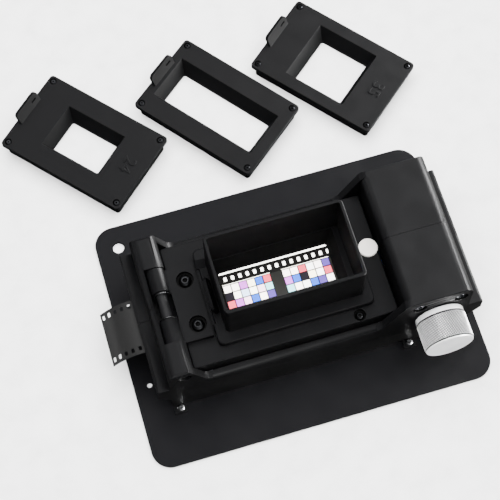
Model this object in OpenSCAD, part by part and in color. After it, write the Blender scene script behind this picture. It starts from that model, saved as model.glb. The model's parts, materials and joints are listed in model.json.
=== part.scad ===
// Hand-wound film carrier on a base plate: a hinged lid with a light hood holds a
// drop-in gate over the film, a knob winds the strip, three more gates lie beside it.
// The origin is on the optical axis, at the underside of the base plate.
// X runs along the film, Y points away from the knob, Z is up. Millimetres.

/* [Base plate] */
// Length of the plate along the film
plate_l = 220; // [216:1:236]
// Width of the plate across the film
plate_w = 165; // [150:1:168]
// Thickness of the plate
plate_t = 2; // [1.5:0.5:3]
// Corner radius of the plate
plate_r = 12.5; // [6:0.5:18]
// Radius of the hanging hole in one corner
hang_r = 3.75; // [3:0.25:5]
// Radius of the two locating holes at the film entry
locate_r = 1.75; // [1.5:0.25:2]
// Distance between the two locating holes
locate_pitch = 56; // [52:1:60]

/* [Housing] */
// Width of the housing across the film
body_w = 92; // [91.6:0.2:92.6]
// Thickness of the side walls
side_t = 4.5; // [4.2:0.1:4.8]
// Height of the side rails
rail_z = 39; // [38:0.5:40]
// Height of the hinge tower
tower_z = 59.5; // [59:0.5:60.5]
// Height of the roller block
block_z = 66.5; // [65:0.5:68]

/* [Lid] */
// Width of the lid across the film
lid_w = 80; // [79:0.2:80.4]
// Height of the lid's top face
lid_z = 47; // [46.5:0.5:47]
// Height of the flange around the hood
flange_z = 51.5; // [51:0.1:52]
// Height of the hood's rim
hood_z = 84; // [70:1:90]
// Length of the hood
hood_l = 86.6; // [84:0.2:87]
// Width of the hood
hood_w = 50.8; // [50:0.2:51]
// Wall thickness of the hood
hood_t = 2; // [1.6:0.1:2.4]

/* [Gates] */
// Length of a gate
gate_l = 93.5; // [93:0.1:93.5]
// Width of a gate
gate_w = 60.8; // [60:0.1:60.8]
// Thickness of a gate
gate_t = 13; // [12.6:0.1:13]
// Length of the lift tab
tab_l = 22; // [18:1:26]

/* [Film] */
// Height of the film plane
film_z = 34.5; // [34.4:0.05:34.6]
// Width of the film
film_w = 35; // [35:0.1:35.2]
// Drop of the film's free end below the film plane
film_drop = 10; // [6:1:11]

/* [Drive] */
// Radius of the knob
knob_r = 15.4; // [13:0.1:16]
// Length of the knob
knob_l = 21.5; // [18:0.5:24]
// Height of the knob's axis
shaft_z = 40; // [39.9:0.05:40.1]
// Radius of the drive shaft
shaft_r = 3; // [2.5:0.1:3.2]

/* [Hidden] */
$fn = 64;
// small overshoot of cutting shapes
e = 0.02;
plate_x = 6;               // centre of the plate, right of the optical axis
body_y = body_w / 2;       // outer face of a side wall
wall_y = body_y - side_t;  // inner face of a side wall
seam = 0.1;                // half of the seam between the housing's two halves
nose_l = -91;              // end of the film entry nose
tower_l = -83;             // left face of the hinge tower
block_l = 64;              // left face of the roller block
block_r = 106;             // right face of the roller block
nose_r = 115.2;            // end of the film exit nose
nose_z = 28;               // lower edge of each nose's end face
nose_low = 17;             // where each nose's slope meets the housing
pin_x = -72.8;             // hinge axis
pin_z = 53.2;
pin_r = 3.2;
tower_round = 6;           // round of the tower's top edge above the film's way in
arm_end = -59.2;           // where the sloping arm of a side wall meets the rail
gusset_x = 50.5;           // where the rail starts to slope up to the roller block
block_round = 6;           // round of the roller block's top edge above the exit
lug_r = tower_z - pin_z;   // round of the hinge lugs about the pin
tower_r = pin_x + lug_r;   // right face of the hinge tower
lug_y = 24.5;              // inner face of a hinge lug
knuckle_r = 5.7;
knuckle_y = [9, 24.2];     // span of a hinge knuckle across the film
pocket_z = 46.2;           // floor of the pocket for the knuckles
pocket_l = -79;            // left wall of the pocket
throat_y = 19;             // half width of the film's way in
bed_z = [31, 35.2];        // underside and top of the film bed
bed_x = [-66.3, 101.7];
channel_z = 34.1;          // floor of the film channel
channel_y = 17.9;
window = [39, 21.5];       // half size of the light window
shaft_x = 86;
bush_r = 5;
shaft_gap = 0.05;          // running clearance of shafts and pins
tyre_y = [12, 17.2];       // span of a roller's tyre across the film
drive_r = shaft_z - film_z - 0.2;
pinch_z = 30;
pinch_r = film_z - pinch_z - 0.2;
bed_screw = [[-56, 38.4], [52, 38.4]];
collar = [33, 38.9, 6];    // span and radius of the shaft's collar
tunnel_screw = [30, 26.5];
hood_screw = [[-28, 27.8], [32, 27.8]];
axle_r = 1.5;
lid_x = [-66, 62.6];
lid_base = 36;
flange_x = [-47.7, 50.4];
flange_y = 31.75;
leaf_x = [-66.5, -49];
leaf_z = 51;
notch = [-40, -18, 20, 5]; // right edge, front, back and slope of the notch for the lift tab
leaf_screw = [-56.3, 14.7];
lid_screw = [39, 36];
magnet = [57.2, 4];
magnet_r = 6;
keeper_y = 9;              // half length of the latch keeper
keeper_z = [38.5, 46];
keeper_t = 1.2;
gate_x = 0.8;              // centre of the fitted gate
gate_base = 35.5;          // underside of the fitted gate
gate_top = gate_base + gate_t + 0.1; // underside of the flange
hood_foot = [-36, 40, 30.2];         // left end, right end and half width of the hood's feet
hood_foot_z = gate_top + 1.4;
sill_z = 2.5;              // thickness of a gate's lower plate
brim_t = 3;                // thickness of a gate's upper brim
brim = 2.25;               // width of the brim
gate_screw = [42.9, 26.4];
taper = 4.4;               // slope of a gate's window on each side
tab_x = -43.5;             // foot of the lift tab
tab_lean = 3.2;
tab_h = 9;
film_x = [-93, 112];       // flat part of the film
film_t = 0.15;
tail_l = 19;               // reach of the film's free end beyond the flat part
perf = [1.98, 2.8];        // size of a perforation
perf_pitch = 4.75;
perf_x = 1.7;              // place of one perforation along the film
perf_y = 14;
gate_magnet_r = 1.7;
hood_corner = 3;           // outer corner radius of the hood
knob_y = -46.8;            // back face of the knob
foot_screws = [-79, 70];
foot_y = 2.4;              // distance of the foot screws from the wall
block_screws = [73, 99];
block_screw_z = 57;

// ---- helpers ----

// points of an arc, from angle a0 to a1
function arc(cx, cy, r, a0, a1, n = 8) =
    [for (i = [0:n]) let (a = a0 + (a1 - a0) * i / n) [cx + r * cos(a), cy + r * sin(a)]];

// a box between two corners
module block(a, b) {
    translate(a) cube(b - a);
}

// an outline drawn in X and Z, extruded from y0 to y1
module along_y(y0, y1) {
    translate([0, y1, 0]) rotate([90, 0, 0]) linear_extrude(y1 - y0) children();
}

// an outline drawn in Y and Z, extruded from x0 to x1
module along_x(x0, x1) {
    translate([x0, 0, 0]) rotate([90, 0, 90]) linear_extrude(x1 - x0) children();
}

// a cylinder along Y
module rod(x, z, r, y0, y1) {
    translate([x, y1, z]) rotate([90, 0, 0]) cylinder(r = r, h = y1 - y0);
}

// a rectangle with round corners
module round_rect(x0, x1, y0, y1, r) {
    translate([x0 + r, y0]) square([x1 - x0 - 2 * r, y1 - y0]);
    translate([x0, y0 + r]) square([x1 - x0, y1 - y0 - 2 * r]);
    for (x = [x0 + r, x1 - r], y = [y0 + r, y1 - r]) translate([x, y]) circle(r);
}

// a plate with round corners, from z0 to z1
module round_plate(x0, x1, y0, y1, z0, z1, r) {
    translate([0, 0, z0]) linear_extrude(z1 - z0) round_rect(x0, x1, y0, y1, r);
}

// the same shape in front of and behind the film's centre line
module both_sides() {
    children();
    mirror([0, 1, 0]) children();
}

// a cylinder head screw standing on z, its head down to z - head, its shank below
module cap_screw(head_r, head_h, shank_r, shank_l, socket_r) {
    difference() {
        union() {
            translate([0, 0, -head_h]) cylinder(r = head_r, h = head_h);
            translate([0, 0, -head_h - shank_l]) cylinder(r = shank_r, h = shank_l + e);
        }
        translate([0, 0, -head_h * 0.6]) cylinder(r = socket_r, h = head_h, $fn = 6);
    }
}

// ---- base plate ----

module base_plate() color("#26272a") difference() {
    round_plate(plate_x - plate_l / 2, plate_x + plate_l / 2, -plate_w / 2, plate_w / 2, 0, plate_t, plate_r);
    round_plate(-window.x, window.x, -window.y, window.y, -e, plate_t + e, 2);
    translate([plate_x - plate_l / 2 + 14.5, plate_w / 2 - 15, -e]) cylinder(r = hang_r, h = plate_t + 2 * e);
    for (y = [-1, 1]) translate([-94, y * locate_pitch / 2, -e]) cylinder(r = locate_r, h = plate_t + 2 * e);
    both_sides() {
        for (x = foot_screws) translate([x, body_y + foot_y, -e]) cylinder(r = 1, h = plate_t + 2 * e);
        for (x = [-1, 1])
            translate([x * tunnel_screw.x, tunnel_screw.y, -e]) cylinder(r = 1.25, h = plate_t + 2 * e);
    }
}

// button heads on the tabs at the foot of the side walls
module foot_screws() color("#9a9ca0") both_sides() for (x = foot_screws)
    translate([x, body_y + foot_y, plate_t + 3.2]) cap_screw(2.2, 1.4, 1, 3.2, 0.9);

// ---- housing ----

// angle at which the straight slope of an arm leaves the round of its lug
arm_angle = acos(lug_r / norm([arm_end - pin_x, pin_z - rail_z]))
    - atan2(pin_z - rail_z, arm_end - pin_x);
// hollow rounds where the slopes of an arm and of the roller block meet the rail
fillet = 5;
arm_foot = arm_end + fillet * tan((90 - arm_angle) / 2);
gusset_top = [block_l + 4.5 + 6 * cos(158), block_z - 6 + 6 * sin(158)];
gusset_angle = atan2(gusset_top.y - rail_z, gusset_top.x - gusset_x);
gusset_foot = gusset_x - fillet * tan(gusset_angle / 2);

// side view of the housing, with the hinge tower, the rails and the roller block
module housing_outline() polygon(concat(
    [[tower_l, plate_t], [tower_l, nose_low], [nose_l, nose_z]],
    arc(nose_l + 1.5, rail_z - 1.5, 1.5, 180, 90, 4),
    [[tower_l, rail_z]],
    arc(tower_l + tower_round, tower_z - tower_round, tower_round, 180, 90, 6),
    arc(pin_x, pin_z, lug_r, 90, arm_angle, 10),
    arc(arm_foot, rail_z + fillet, fillet, 180 + arm_angle, 270, 6),
    arc(gusset_foot, rail_z + fillet, fillet, 270, 270 + gusset_angle, 6),
    arc(block_l + 4.5, block_z - 6, 6, 158, 90, 8),
    arc(block_r - block_round, block_z - block_round, block_round, 90, 0, 10),
    [[block_r, rail_z]],
    arc(nose_r - 1.5, rail_z - 1.5, 1.5, 90, 0, 4),
    [[nose_r, nose_z], [block_r, nose_low], [block_r, plate_t]]
));

// side view of the hollow roller block between the side walls
module block_outline() polygon(concat(
    [[block_l, bed_z[1] + 0.3]],
    arc(block_l + 5, block_z - 5, 5, 180, 90, 8),
    arc(block_r - block_round, block_z - block_round, block_round, 90, 0, 10),
    [[block_r, plate_t], [block_r - 4, plate_t], [block_r - 4, block_z - 5], [block_l + 4, block_z - 5],
     [block_l + 4, bed_z[1] + 0.3]]
));

// end view that rounds a side wall's top edge at height z with radius r
module edge_profile(z, r) polygon(concat(
    [[0, 0], [body_y, 0]], arc(body_y - r, z - r, r, 0, 90, 6), [[0, z]]
));

// a side wall, its top edges rounded at the rails, the tower and the block
module side_wall() {
    intersection() {
        along_y(wall_y, body_y) housing_outline();
        union() {
            along_x(arm_foot, gusset_foot) edge_profile(rail_z, 3);
            along_x(nose_l, arm_foot) edge_profile(tower_z, 3);
            along_x(gusset_foot, nose_r) edge_profile(block_z, 1.2);
        }
    }
}

// the tower between the side walls: solid lugs, a pocket for the knuckles, the film throat
module tower_core() {
    intersection() {
        along_y(lug_y, wall_y + e) housing_outline();
        block([tower_l, 0, bed_z[0]], [tower_r, body_y, tower_z]);
    }
    block([tower_l, seam, bed_z[0]], [tower_r, lug_y + e, pocket_z]);
    along_y(seam, lug_y + e) polygon(concat(
        [[pocket_l, pocket_z - e], [tower_l, pocket_z - e]],
        arc(tower_l + tower_round, tower_z - tower_round, tower_round,
            180, acos((pocket_l - tower_l - tower_round) / tower_round), 6)
    ));
    block([tower_l, seam, plate_t], [tower_l + 4, wall_y + e, bed_z[0] + e]);
    along_y(seam, wall_y + e) polygon([
        [tower_l + e, nose_low], [nose_l, nose_z], [nose_l, rail_z - 1.5],
        [nose_l + 1.5, rail_z], [tower_l + e, rail_z]
    ]);
}

// the film's way in, a funnel that leaves room for the strip's curl
module throat() along_y(-e, throat_y) polygon([
    [nose_l - 1, nose_low], [tower_l, nose_low + 5], [tower_l + 14, channel_z],
    [tower_r + 1, channel_z], [tower_r + 1, bed_z[1] + 0.8], [nose_l - 1, bed_z[1] + 0.8]
]);

// half of the housing, on the side of positive y
module housing_half() {
    difference() {
        union() {
            side_wall();
            tower_core();
            along_y(seam, wall_y + e) block_outline();
            along_y(seam, wall_y + e) polygon([
                [block_r - e, nose_low], [nose_r, nose_z], [nose_r, rail_z - 1.5],
                [nose_r - 1.5, rail_z], [block_r - e, rail_z]
            ]);
            block([tower_l + 4 - e, wall_y - 5.5, bed_z[0] - 5], [block_r - 4 + e, wall_y + e, bed_z[0]]);
            for (x = foot_screws) block([x - 4, body_y - 1, plate_t], [x + 4, body_y + 5.4, plate_t + 1.8]);
        }
        throat();
        block([block_r - 5, -e, channel_z - 0.6], [nose_r + 1, throat_y - 0.8, bed_z[1] + 0.4]);
        rod(pin_x, pin_z, pin_r, 0, body_y - 1.5);
        rod(shaft_x, shaft_z, bush_r, wall_y - 1, body_y + 1);
        rod(shaft_x, pinch_z, axle_r, wall_y - 6, wall_y - 1);
        for (x = foot_screws) translate([x, body_y + foot_y, 0]) cylinder(r = 1.05, h = 9);
        for (p = bed_screw) translate([p.x, p.y, bed_z[0] - 3.5]) cylinder(r = 1.25, h = 4);
        block([block_l - 1, -e, keeper_z[0]], [block_l + keeper_t, keeper_y, keeper_z[1]]);
    }
    // screw posts of the roller block, which meet at the seam
    for (x = block_screws) difference() {
        rod(x, block_screw_z, 3.6, seam, wall_y + e);
        rod(x, block_screw_z, 1.5, seam - 1, 14);
    }
}

// the back half has the same shape, with blind screw posts
module housing_back() color("#2b2c2f") housing_half();

// the front half has counterbores for the screws and an open end to the hinge pin's bore
module housing_front() color("#2b2c2f") difference() {
    mirror([0, 1, 0]) housing_half();
    for (x = block_screws) {
        rod(x, block_screw_z, 4.4, -body_y - 1, -body_y + 3.4);
        rod(x, block_screw_z, 1.5, -body_y, 0);
    }
    rod(pin_x, pin_z, pin_r + 0.9, -body_y - 1, -body_y + 1.6);
}

// cap screws that pull the two halves of the roller block together
module block_screws() color("#55575b") for (x = block_screws)
    translate([x, -body_y + 0.6, block_screw_z]) rotate([90, 0, 0]) cap_screw(3.7, 2.8, 1.45, 55, 1.7);

module hinge_pin() color("#6d6f73") rod(pin_x, pin_z, pin_r, -body_y + 1.2, body_y - 1.5);

// bright washers beside the knuckles
module hinge_washers() color("#d9dadd") both_sides() difference() {
    rod(pin_x, pin_z, knuckle_r - 0.3, knuckle_y[0] - 1.3, knuckle_y[0] - 0.4);
    rod(pin_x, pin_z, pin_r, knuckle_y[0] - 2, knuckle_y[0]);
}

module shaft_bushes() color("#b08d4a") both_sides() difference() {
    union() {
        rod(shaft_x, shaft_z, bush_r, wall_y - e, body_y);
        rod(shaft_x, shaft_z, bush_r + 1.6, wall_y - 1.2, wall_y);
    }
    rod(shaft_x, shaft_z, shaft_r + shaft_gap, wall_y - 2, body_y + 1);
}

module pinch_axle() color("#b9babd") rod(shaft_x, pinch_z, axle_r, -wall_y + 1, wall_y - 1);

// steel strip on the roller block's left face that holds the lid's magnet
module latch_keeper() color("#8f9195") block(
    [block_l, -keeper_y, keeper_z[0]], [block_l + keeper_t, keeper_y, keeper_z[1]]
);

// ---- light path ----

module film_bed() color("#1f2022") difference() {
    block([bed_x[0], -wall_y + 0.2, bed_z[0]], [bed_x[1], wall_y - 0.2, bed_z[1]]);
    block([bed_x[0] - 1, -channel_y, channel_z], [bed_x[1] + 1, channel_y, bed_z[1] + 1]);
    block([-window.x - 2.2, -window.y - 1.2, bed_z[0] + 1], [window.x + 2.2, window.y + 1.2, bed_z[1] + 1]);
    block([-window.x, -window.y + 1, bed_z[0] - 1], [window.x, window.y - 1, bed_z[1]]);
    block([shaft_x - 5.5, -throat_y, bed_z[0] - 1], [shaft_x + 5.5, throat_y, bed_z[1] + 1]);
    rod(shaft_x, pinch_z, axle_r + 0.2, -wall_y, wall_y);
    both_sides() rod(shaft_x, shaft_z, bush_r + 2, wall_y - 2, wall_y);
    rod(shaft_x, shaft_z, collar[2] + 0.6, collar[0] - 0.8, wall_y);
    both_sides() for (p = bed_screw) translate([p.x, p.y, 0]) {
        translate([0, 0, bed_z[0] - 1]) cylinder(r = 1.3, h = 6);
        translate([0, 0, bed_z[1] - 1.6]) cylinder(r = 2.35, h = 2);
    }
}

module bed_screws() color("#55575b") both_sides() for (p = bed_screw)
    translate([p.x, p.y, bed_z[1] - 0.2]) cap_screw(2.2, 1.4, 1.25, 5.8, 0.9);

// opal sheet under the film
module diffuser() color("#f4f4f0") block(
    [-window.x - 2, -window.y - 1, bed_z[0] + 1], [window.x + 2, window.y + 1, channel_z]
);

// white tunnel from the window in the plate up to the diffuser
module light_tunnel() color("#e9e9e6") difference() {
    union() {
        block([-window.x - 2, -window.y - 2, plate_t], [window.x + 2, window.y + 2, bed_z[0]]);
        both_sides() block([-window.x, window.y + 1, plate_t], [window.x, window.y + 8, plate_t + 2]);
    }
    block([-window.x, -window.y, plate_t - 1], [window.x, window.y, bed_z[0] + 1]);
    both_sides() for (x = [-1, 1])
        translate([x * tunnel_screw.x, tunnel_screw.y, 0]) cylinder(r = 1.3, h = 6);
}

module tunnel_screws() color("#9a9ca0") both_sides() for (x = [-1, 1])
    translate([x * tunnel_screw.x, tunnel_screw.y, plate_t + 3.6]) cap_screw(2.4, 1.6, 1.25, 3.6, 1.0);

// ---- lid ----

// the lid's plate and the flange over the gate; gates go in from below while the lid is open
module lid_frame() color("#2e2f32") difference() {
    union() {
        intersection() {
            round_plate(lid_x[0], lid_x[1], -lid_w / 2, lid_w / 2, lid_base, lid_z, 1.5);
            along_x(lid_x[0], lid_x[1]) polygon([
                [-lid_w / 2, lid_base], [-lid_w / 2, lid_z - 0.8], [-lid_w / 2 + 0.8, lid_z],
                [lid_w / 2 - 0.8, lid_z], [lid_w / 2, lid_z - 0.8], [lid_w / 2, lid_base]
            ]);
        }
        round_plate(flange_x[0], flange_x[1], -flange_y, flange_y, lid_z - e, flange_z, 4);
    }
    block([gate_x - gate_l / 2 - 0.3, -gate_w / 2 - 0.3, lid_base - 1],
          [gate_x + gate_l / 2 + 0.3, gate_w / 2 + 0.3, gate_top]);
    along_x(flange_x[0] - 1, notch[0]) polygon([
        [notch[1], gate_top - 1], [notch[2], gate_top - 1], [notch[2], gate_top],
        [notch[2] + notch[3], flange_z + e], [notch[1], flange_z + e]
    ]);
    hood_plan(0, gate_top - 1, flange_z + 1, hood_corner);
    block([hood_foot[0], -hood_foot[2], gate_top - 1], [hood_foot[1], hood_foot[2], hood_foot_z]);
    gate_corners() translate([0, 0, gate_top - 1]) cylinder(r = gate_magnet_r, h = 3);
    translate([magnet.x, magnet.y, lid_z - 4]) cylinder(r = magnet_r, h = 6);
    both_sides() {
        translate([lid_screw.x, lid_screw.y, lid_z - 2.6]) cylinder(r = 3.75, h = 3);
        translate([lid_screw.x, lid_screw.y, lid_base + 1]) cylinder(r = 1.45, h = 12);
        translate([leaf_screw.x, leaf_screw.y, lid_base + 1]) cylinder(r = 1.95, h = 12);
        for (p = hood_screw) translate([p.x, p.y, gate_top]) cylinder(r = 1, h = flange_z - gate_top - 0.6);
    }
}

// plan of the hood, less a margin all round, from z0 to z1
module hood_plan(margin, z0, z1, r) round_plate(
    2 - hood_l / 2 + margin, 2 + hood_l / 2 - margin, -hood_w / 2 + margin, hood_w / 2 - margin, z0, z1, r
);

// hood with two feet along its sides, set into the flange from below
module light_hood() color("#2e2f32") difference() {
    union() {
        hood_plan(0, gate_top, hood_z, hood_corner);
        block([hood_foot[0], -hood_foot[2], gate_top], [hood_foot[1], hood_foot[2], hood_foot_z]);
    }
    hood_plan(hood_t, gate_top - 1, hood_z + 1, hood_corner - 1.6);
    gate_corners() translate([0, 0, gate_top - 1]) cylinder(r = gate_magnet_r, h = 3);
    both_sides() for (p = hood_screw) translate([p.x, p.y, gate_top]) {
        translate([0, 0, -1]) cylinder(r = 1.1, h = 4);
        translate([0, 0, -1]) cylinder(r = 2.1, h = 1.8);
    }
}

// countersunk screws from below that hold the hood's feet in the flange
module hood_screws() color("#55575b") both_sides() for (p = hood_screw)
    translate([p.x, p.y, gate_top]) rotate([180, 0, 0]) cap_screw(2, 0.8, 1, 1.4, 0.8);

// magnets in the flange that hold a gate by its four steel screws
module gate_magnets() color("#c9cbcf") gate_corners() translate([0, 0, gate_top + 0.1])
    cylinder(r = gate_magnet_r, h = 1.9);

module hinge_leaf() color("#303134") difference() {
    union() {
        block([leaf_x[0], -lug_y + 0.3, lid_z], [leaf_x[1], lug_y - 0.3, leaf_z]);
        both_sides() {
            rod(pin_x, pin_z, knuckle_r, knuckle_y[0], knuckle_y[1]);
            block([pin_x, knuckle_y[0], lid_z + 0.6], [leaf_x[0] + 1, knuckle_y[1], leaf_z]);
        }
    }
    rod(pin_x, pin_z, pin_r + shaft_gap, -lug_y - 1, lug_y + 1);
    both_sides() {
        translate([leaf_screw.x, leaf_screw.y, leaf_z - 2.8]) cylinder(r = 5.4, h = 4);
        translate([leaf_screw.x, leaf_screw.y, lid_z - 1]) cylinder(r = 2, h = 4);
    }
}

module leaf_screws() color("#4b4d51") both_sides()
    translate([leaf_screw.x, leaf_screw.y, leaf_z - 0.3]) cap_screw(3.9, 2.5, 1.95, 8, 1.7);

module lid_screws() color("#4b4d51") both_sides()
    translate([lid_screw.x, lid_screw.y, lid_z - 0.6]) cap_screw(2.7, 2, 1.45, 7, 1.3);

module latch_magnet() color("#d6d8dc")
    translate([magnet.x, magnet.y, lid_z - 4]) cylinder(r = magnet_r, h = 5.2);

// ---- gates ----

// a rectangular window that widens upwards, from z0 to z1
module tapered_window(l, w, z0, z1, slope) intersection() {
    along_y(-w, w) polygon([
        [-l / 2, z0], [l / 2, z0], [l / 2 + slope, z1], [-l / 2 - slope, z1]
    ]);
    along_x(-l, l) polygon([
        [-w / 2, z0], [w / 2, z0], [w / 2 + slope, z1], [-w / 2 - slope, z1]
    ]);
}

// the upper piece of a gate: body, brim, lift tab and tapered window of size l by w
module mask(l, w) difference() {
    union() {
        round_plate(-gate_l / 2 + brim, gate_l / 2 - brim, -gate_w / 2 + brim, gate_w / 2 - brim,
                    sill_z, gate_t - brim_t + e, 2);
        round_plate(-gate_l / 2, gate_l / 2, -gate_w / 2, gate_w / 2, gate_t - brim_t, gate_t, 2.5);
        lift_tab();
    }
    translate([-gate_x, 0, 0])
        tapered_window(l, w, sill_z - 0.5, gate_t + 0.1, taper * (gate_t + 0.6 - sill_z) / (gate_t - sill_z));
    for (x = [-1, 1], y = [-1, 1]) translate([x * gate_screw.x, y * gate_screw.y, 0]) {
        translate([0, 0, gate_t - 1]) cylinder(r = 2.4, h = 2);
        cylinder(r = 1.05, h = gate_t);
    }
}

// a leaning tab with round top corners and a small slot near one end
module lift_tab() {
    lean = atan(tab_lean / tab_h);
    translate([tab_x, 0, gate_t - 0.2]) rotate([0, -lean, 0]) difference() {
        along_x(-1.1, 1.1) polygon(concat(
            [[-tab_l / 2, -0.6], [tab_l / 2, -0.6]],
            arc(tab_l / 2 - 3, tab_h - 3, 3, 0, 90, 6),
            arc(-tab_l / 2 + 3, tab_h - 3, 3, 90, 180, 6)
        ));
        block([-0.1, tab_l / 2 - 7, 3.9], [2, tab_l / 2 - 2.5, 5.6]);
    }
}

// the lower plate of a gate, with a straight window of size l by w
module sill(l, w) difference() {
    round_plate(-gate_l / 2 + brim, gate_l / 2 - brim, -gate_w / 2 + brim, gate_w / 2 - brim, 0, sill_z, 2);
    block([-gate_x - l / 2, -w / 2, -1], [-gate_x + l / 2, w / 2, sill_z + 1]);
    for (x = [-1, 1], y = [-1, 1])
        translate([x * gate_screw.x, y * gate_screw.y, 1]) cylinder(r = 1.05, h = 5);
}

module corner_screws() for (x = [-1, 1], y = [-1, 1])
    translate([x * gate_screw.x, y * gate_screw.y, gate_t - 0.1]) cap_screw(2.05, 0.9, 1, gate_t - 2.4, 0.8);

// the places of the fitted gate's screws
module gate_corners() for (x = [-1, 1], y = [-1, 1])
    translate([gate_x + x * gate_screw.x, y * gate_screw.y, 0]) children();

module fitted() {
    translate([gate_x, 0, gate_base]) children();
}

// windows of the fitted gate and the spare ones: length and width
fitted_size = [70, 36.4];
spare_size = [[36, 24], [70, 24], [36, 35]];
// places of the spare gates on the table: x, y and turn
spare_place = [[-92.2, 143.5, -47.8], [-0.9, 143.3, -50.8], [82.4, 150.4, -49.6]];

module spare(i) {
    translate([spare_place[i].x, spare_place[i].y, 0]) rotate([0, 0, spare_place[i].z]) children();
}

module gate_mask() color("#2a2b2e") fitted() mask(fitted_size.x, fitted_size.y);
module gate_sill() color("#232427") fitted() sill(fitted_size.x, fitted_size.y);
module gate_screws() color("#4b4d51") fitted() corner_screws();

module spare_mask(i) color("#2a2b2e") spare(i) mask(spare_size[i].x, spare_size[i].y);
module spare_sill(i) color("#232427") spare(i) sill(spare_size[i].x, spare_size[i].y);
module spare_screws(i) color("#4b4d51") spare(i) corner_screws();

// ---- drive ----

// turned knob: a plain collar, a groove, the grip, a second groove and a chamfered face
module knob() color("#dcdde0") difference() {
    translate([shaft_x, knob_y, shaft_z]) rotate([90, 0, 0]) rotate_extrude() polygon([
        [0, 0], [knob_r - 1.4, 0], [knob_r - 0.6, 0.8], [knob_r - 0.6, 3], [knob_r - 1.6, 3.3],
        [knob_r - 1.6, 4.1], [knob_r, 4.6], [knob_r, knob_l - 3.6], [knob_r - 0.9, knob_l - 3.2],
        [knob_r - 0.9, knob_l - 2.6], [knob_r - 0.2, knob_l - 2.2], [knob_r - 0.2, knob_l - 1.4],
        [knob_r - 1.6, knob_l], [0, knob_l]
    ]);
    rod(shaft_x, shaft_z, shaft_r, knob_y - 14, knob_y + 1);
    translate([shaft_x, knob_y - 1.7, shaft_z - knob_r - 1]) cylinder(r = 1.1, h = knob_r + 1);
}

module knob_screw() color("#3c3d40") translate([shaft_x, knob_y - 1.7, shaft_z - knob_r + 1.6])
    cylinder(r = 1.1, h = knob_r - shaft_r - 1.6);

module drive_shaft() color("#b9babd") rod(shaft_x, shaft_z, shaft_r, knob_y - 14, body_y + 0.5);

// rubber tyres that grip the film beside its perforations
module drive_tyres() color("#1c1c1c") both_sides() difference() {
    rod(shaft_x, shaft_z, drive_r, tyre_y[0], tyre_y[1]);
    rod(shaft_x, shaft_z, shaft_r, tyre_y[0] - 1, tyre_y[1] + 1);
}

module shaft_collar() color("#a4a6aa") difference() {
    rod(shaft_x, shaft_z, collar[2], collar[0], collar[1]);
    rod(shaft_x, shaft_z, shaft_r, collar[0] - 1, collar[1] + 1);
    translate([shaft_x, (collar[0] + collar[1]) / 2, shaft_z]) cylinder(r = 1.25, h = 9);
}

module pinch_roller() color("#d8d8d4") difference() {
    union() {
        rod(shaft_x, pinch_z, pinch_r - 1.4, -throat_y + 1, throat_y - 1);
        rod(shaft_x, pinch_z, pinch_r - 0.4, -tyre_y[0], tyre_y[0]);
    }
    rod(shaft_x, pinch_z, axle_r + shaft_gap, -throat_y, throat_y);
    for (y = [-5, 5]) difference() {
        rod(shaft_x, pinch_z, pinch_r, y - 0.6, y + 0.6);
        rod(shaft_x, pinch_z, pinch_r - 1.2, y - 1, y + 1);
    }
}

module pinch_tyres() color("#1c1c1c") both_sides() difference() {
    rod(shaft_x, pinch_z, pinch_r, tyre_y[0], tyre_y[1]);
    rod(shaft_x, pinch_z, pinch_r - 1.4, tyre_y[0] - 1, tyre_y[1] + 1);
}

// ---- film ----

// drop of the film's centre line at a distance s beyond its flat part
function tail_z(s) = film_z - film_drop * pow(s / tail_l, 2);

// flat strip with both rows of perforations, and the curled free end
module film_strip() color("#4a3a34") {
    difference() {
        union() {
            block([film_x[0], -film_w / 2, film_z - film_t / 2],
                  [film_x[1], film_w / 2, film_z + film_t / 2]);
            along_y(-film_w / 2, film_w / 2) polygon(concat(
                [for (i = [0:8]) [film_x[0] + e - tail_l * i / 8, tail_z(tail_l * i / 8) + film_t / 2]],
                [for (i = [8:-1:0]) [film_x[0] + e - tail_l * i / 8, tail_z(tail_l * i / 8) - film_t / 2]]
            ));
        }
        for (i = [-24:20], y = [-perf_y, perf_y]) let (x = perf_x + i * perf_pitch)
            if (x < film_x[1] - 2)
                block([x - perf.x / 2, y - perf.y / 2, film_z - film_drop - 1],
                      [x + perf.x / 2, y + perf.y / 2, film_z + 1]);
    }
}

base_plate();
housing_front();
housing_back();
foot_screws();
block_screws();
film_bed();
diffuser();
light_tunnel();
tunnel_screws();
bed_screws();
hinge_pin();
hinge_washers();
shaft_bushes();
pinch_axle();
latch_keeper();
lid_frame();
light_hood();
hood_screws();
hinge_leaf();
leaf_screws();
lid_screws();
latch_magnet();
gate_magnets();
gate_mask();
gate_sill();
gate_screws();
knob();
knob_screw();
drive_shaft();
drive_tyres();
shaft_collar();
pinch_roller();
pinch_tyres();
film_strip();
spare_mask(0);  // spare_a_mask
spare_sill(0);  // spare_a_sill
spare_screws(0);  // spare_a_screws
spare_mask(1);  // spare_b_mask
spare_sill(1);  // spare_b_sill
spare_screws(1);  // spare_b_screws
spare_mask(2);  // spare_c_mask
spare_sill(2);  // spare_c_sill
spare_screws(2);  // spare_c_screws
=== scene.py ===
"""Looks of a hand-wound 35 mm film carrier: plate, housing, hinged lid, hood, gates, film and knob.

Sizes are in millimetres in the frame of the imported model: the origin is on the optical axis
at the underside of the plate, X runs along the film, Y points away from the knob, Z is up.
"""

import json
import logging
import math
from contextlib import contextmanager
from dataclasses import dataclass
from enum import Enum
from typing import Any, Callable, Iterator, Sequence

import bpy
from mathutils import Matrix, Vector

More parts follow.
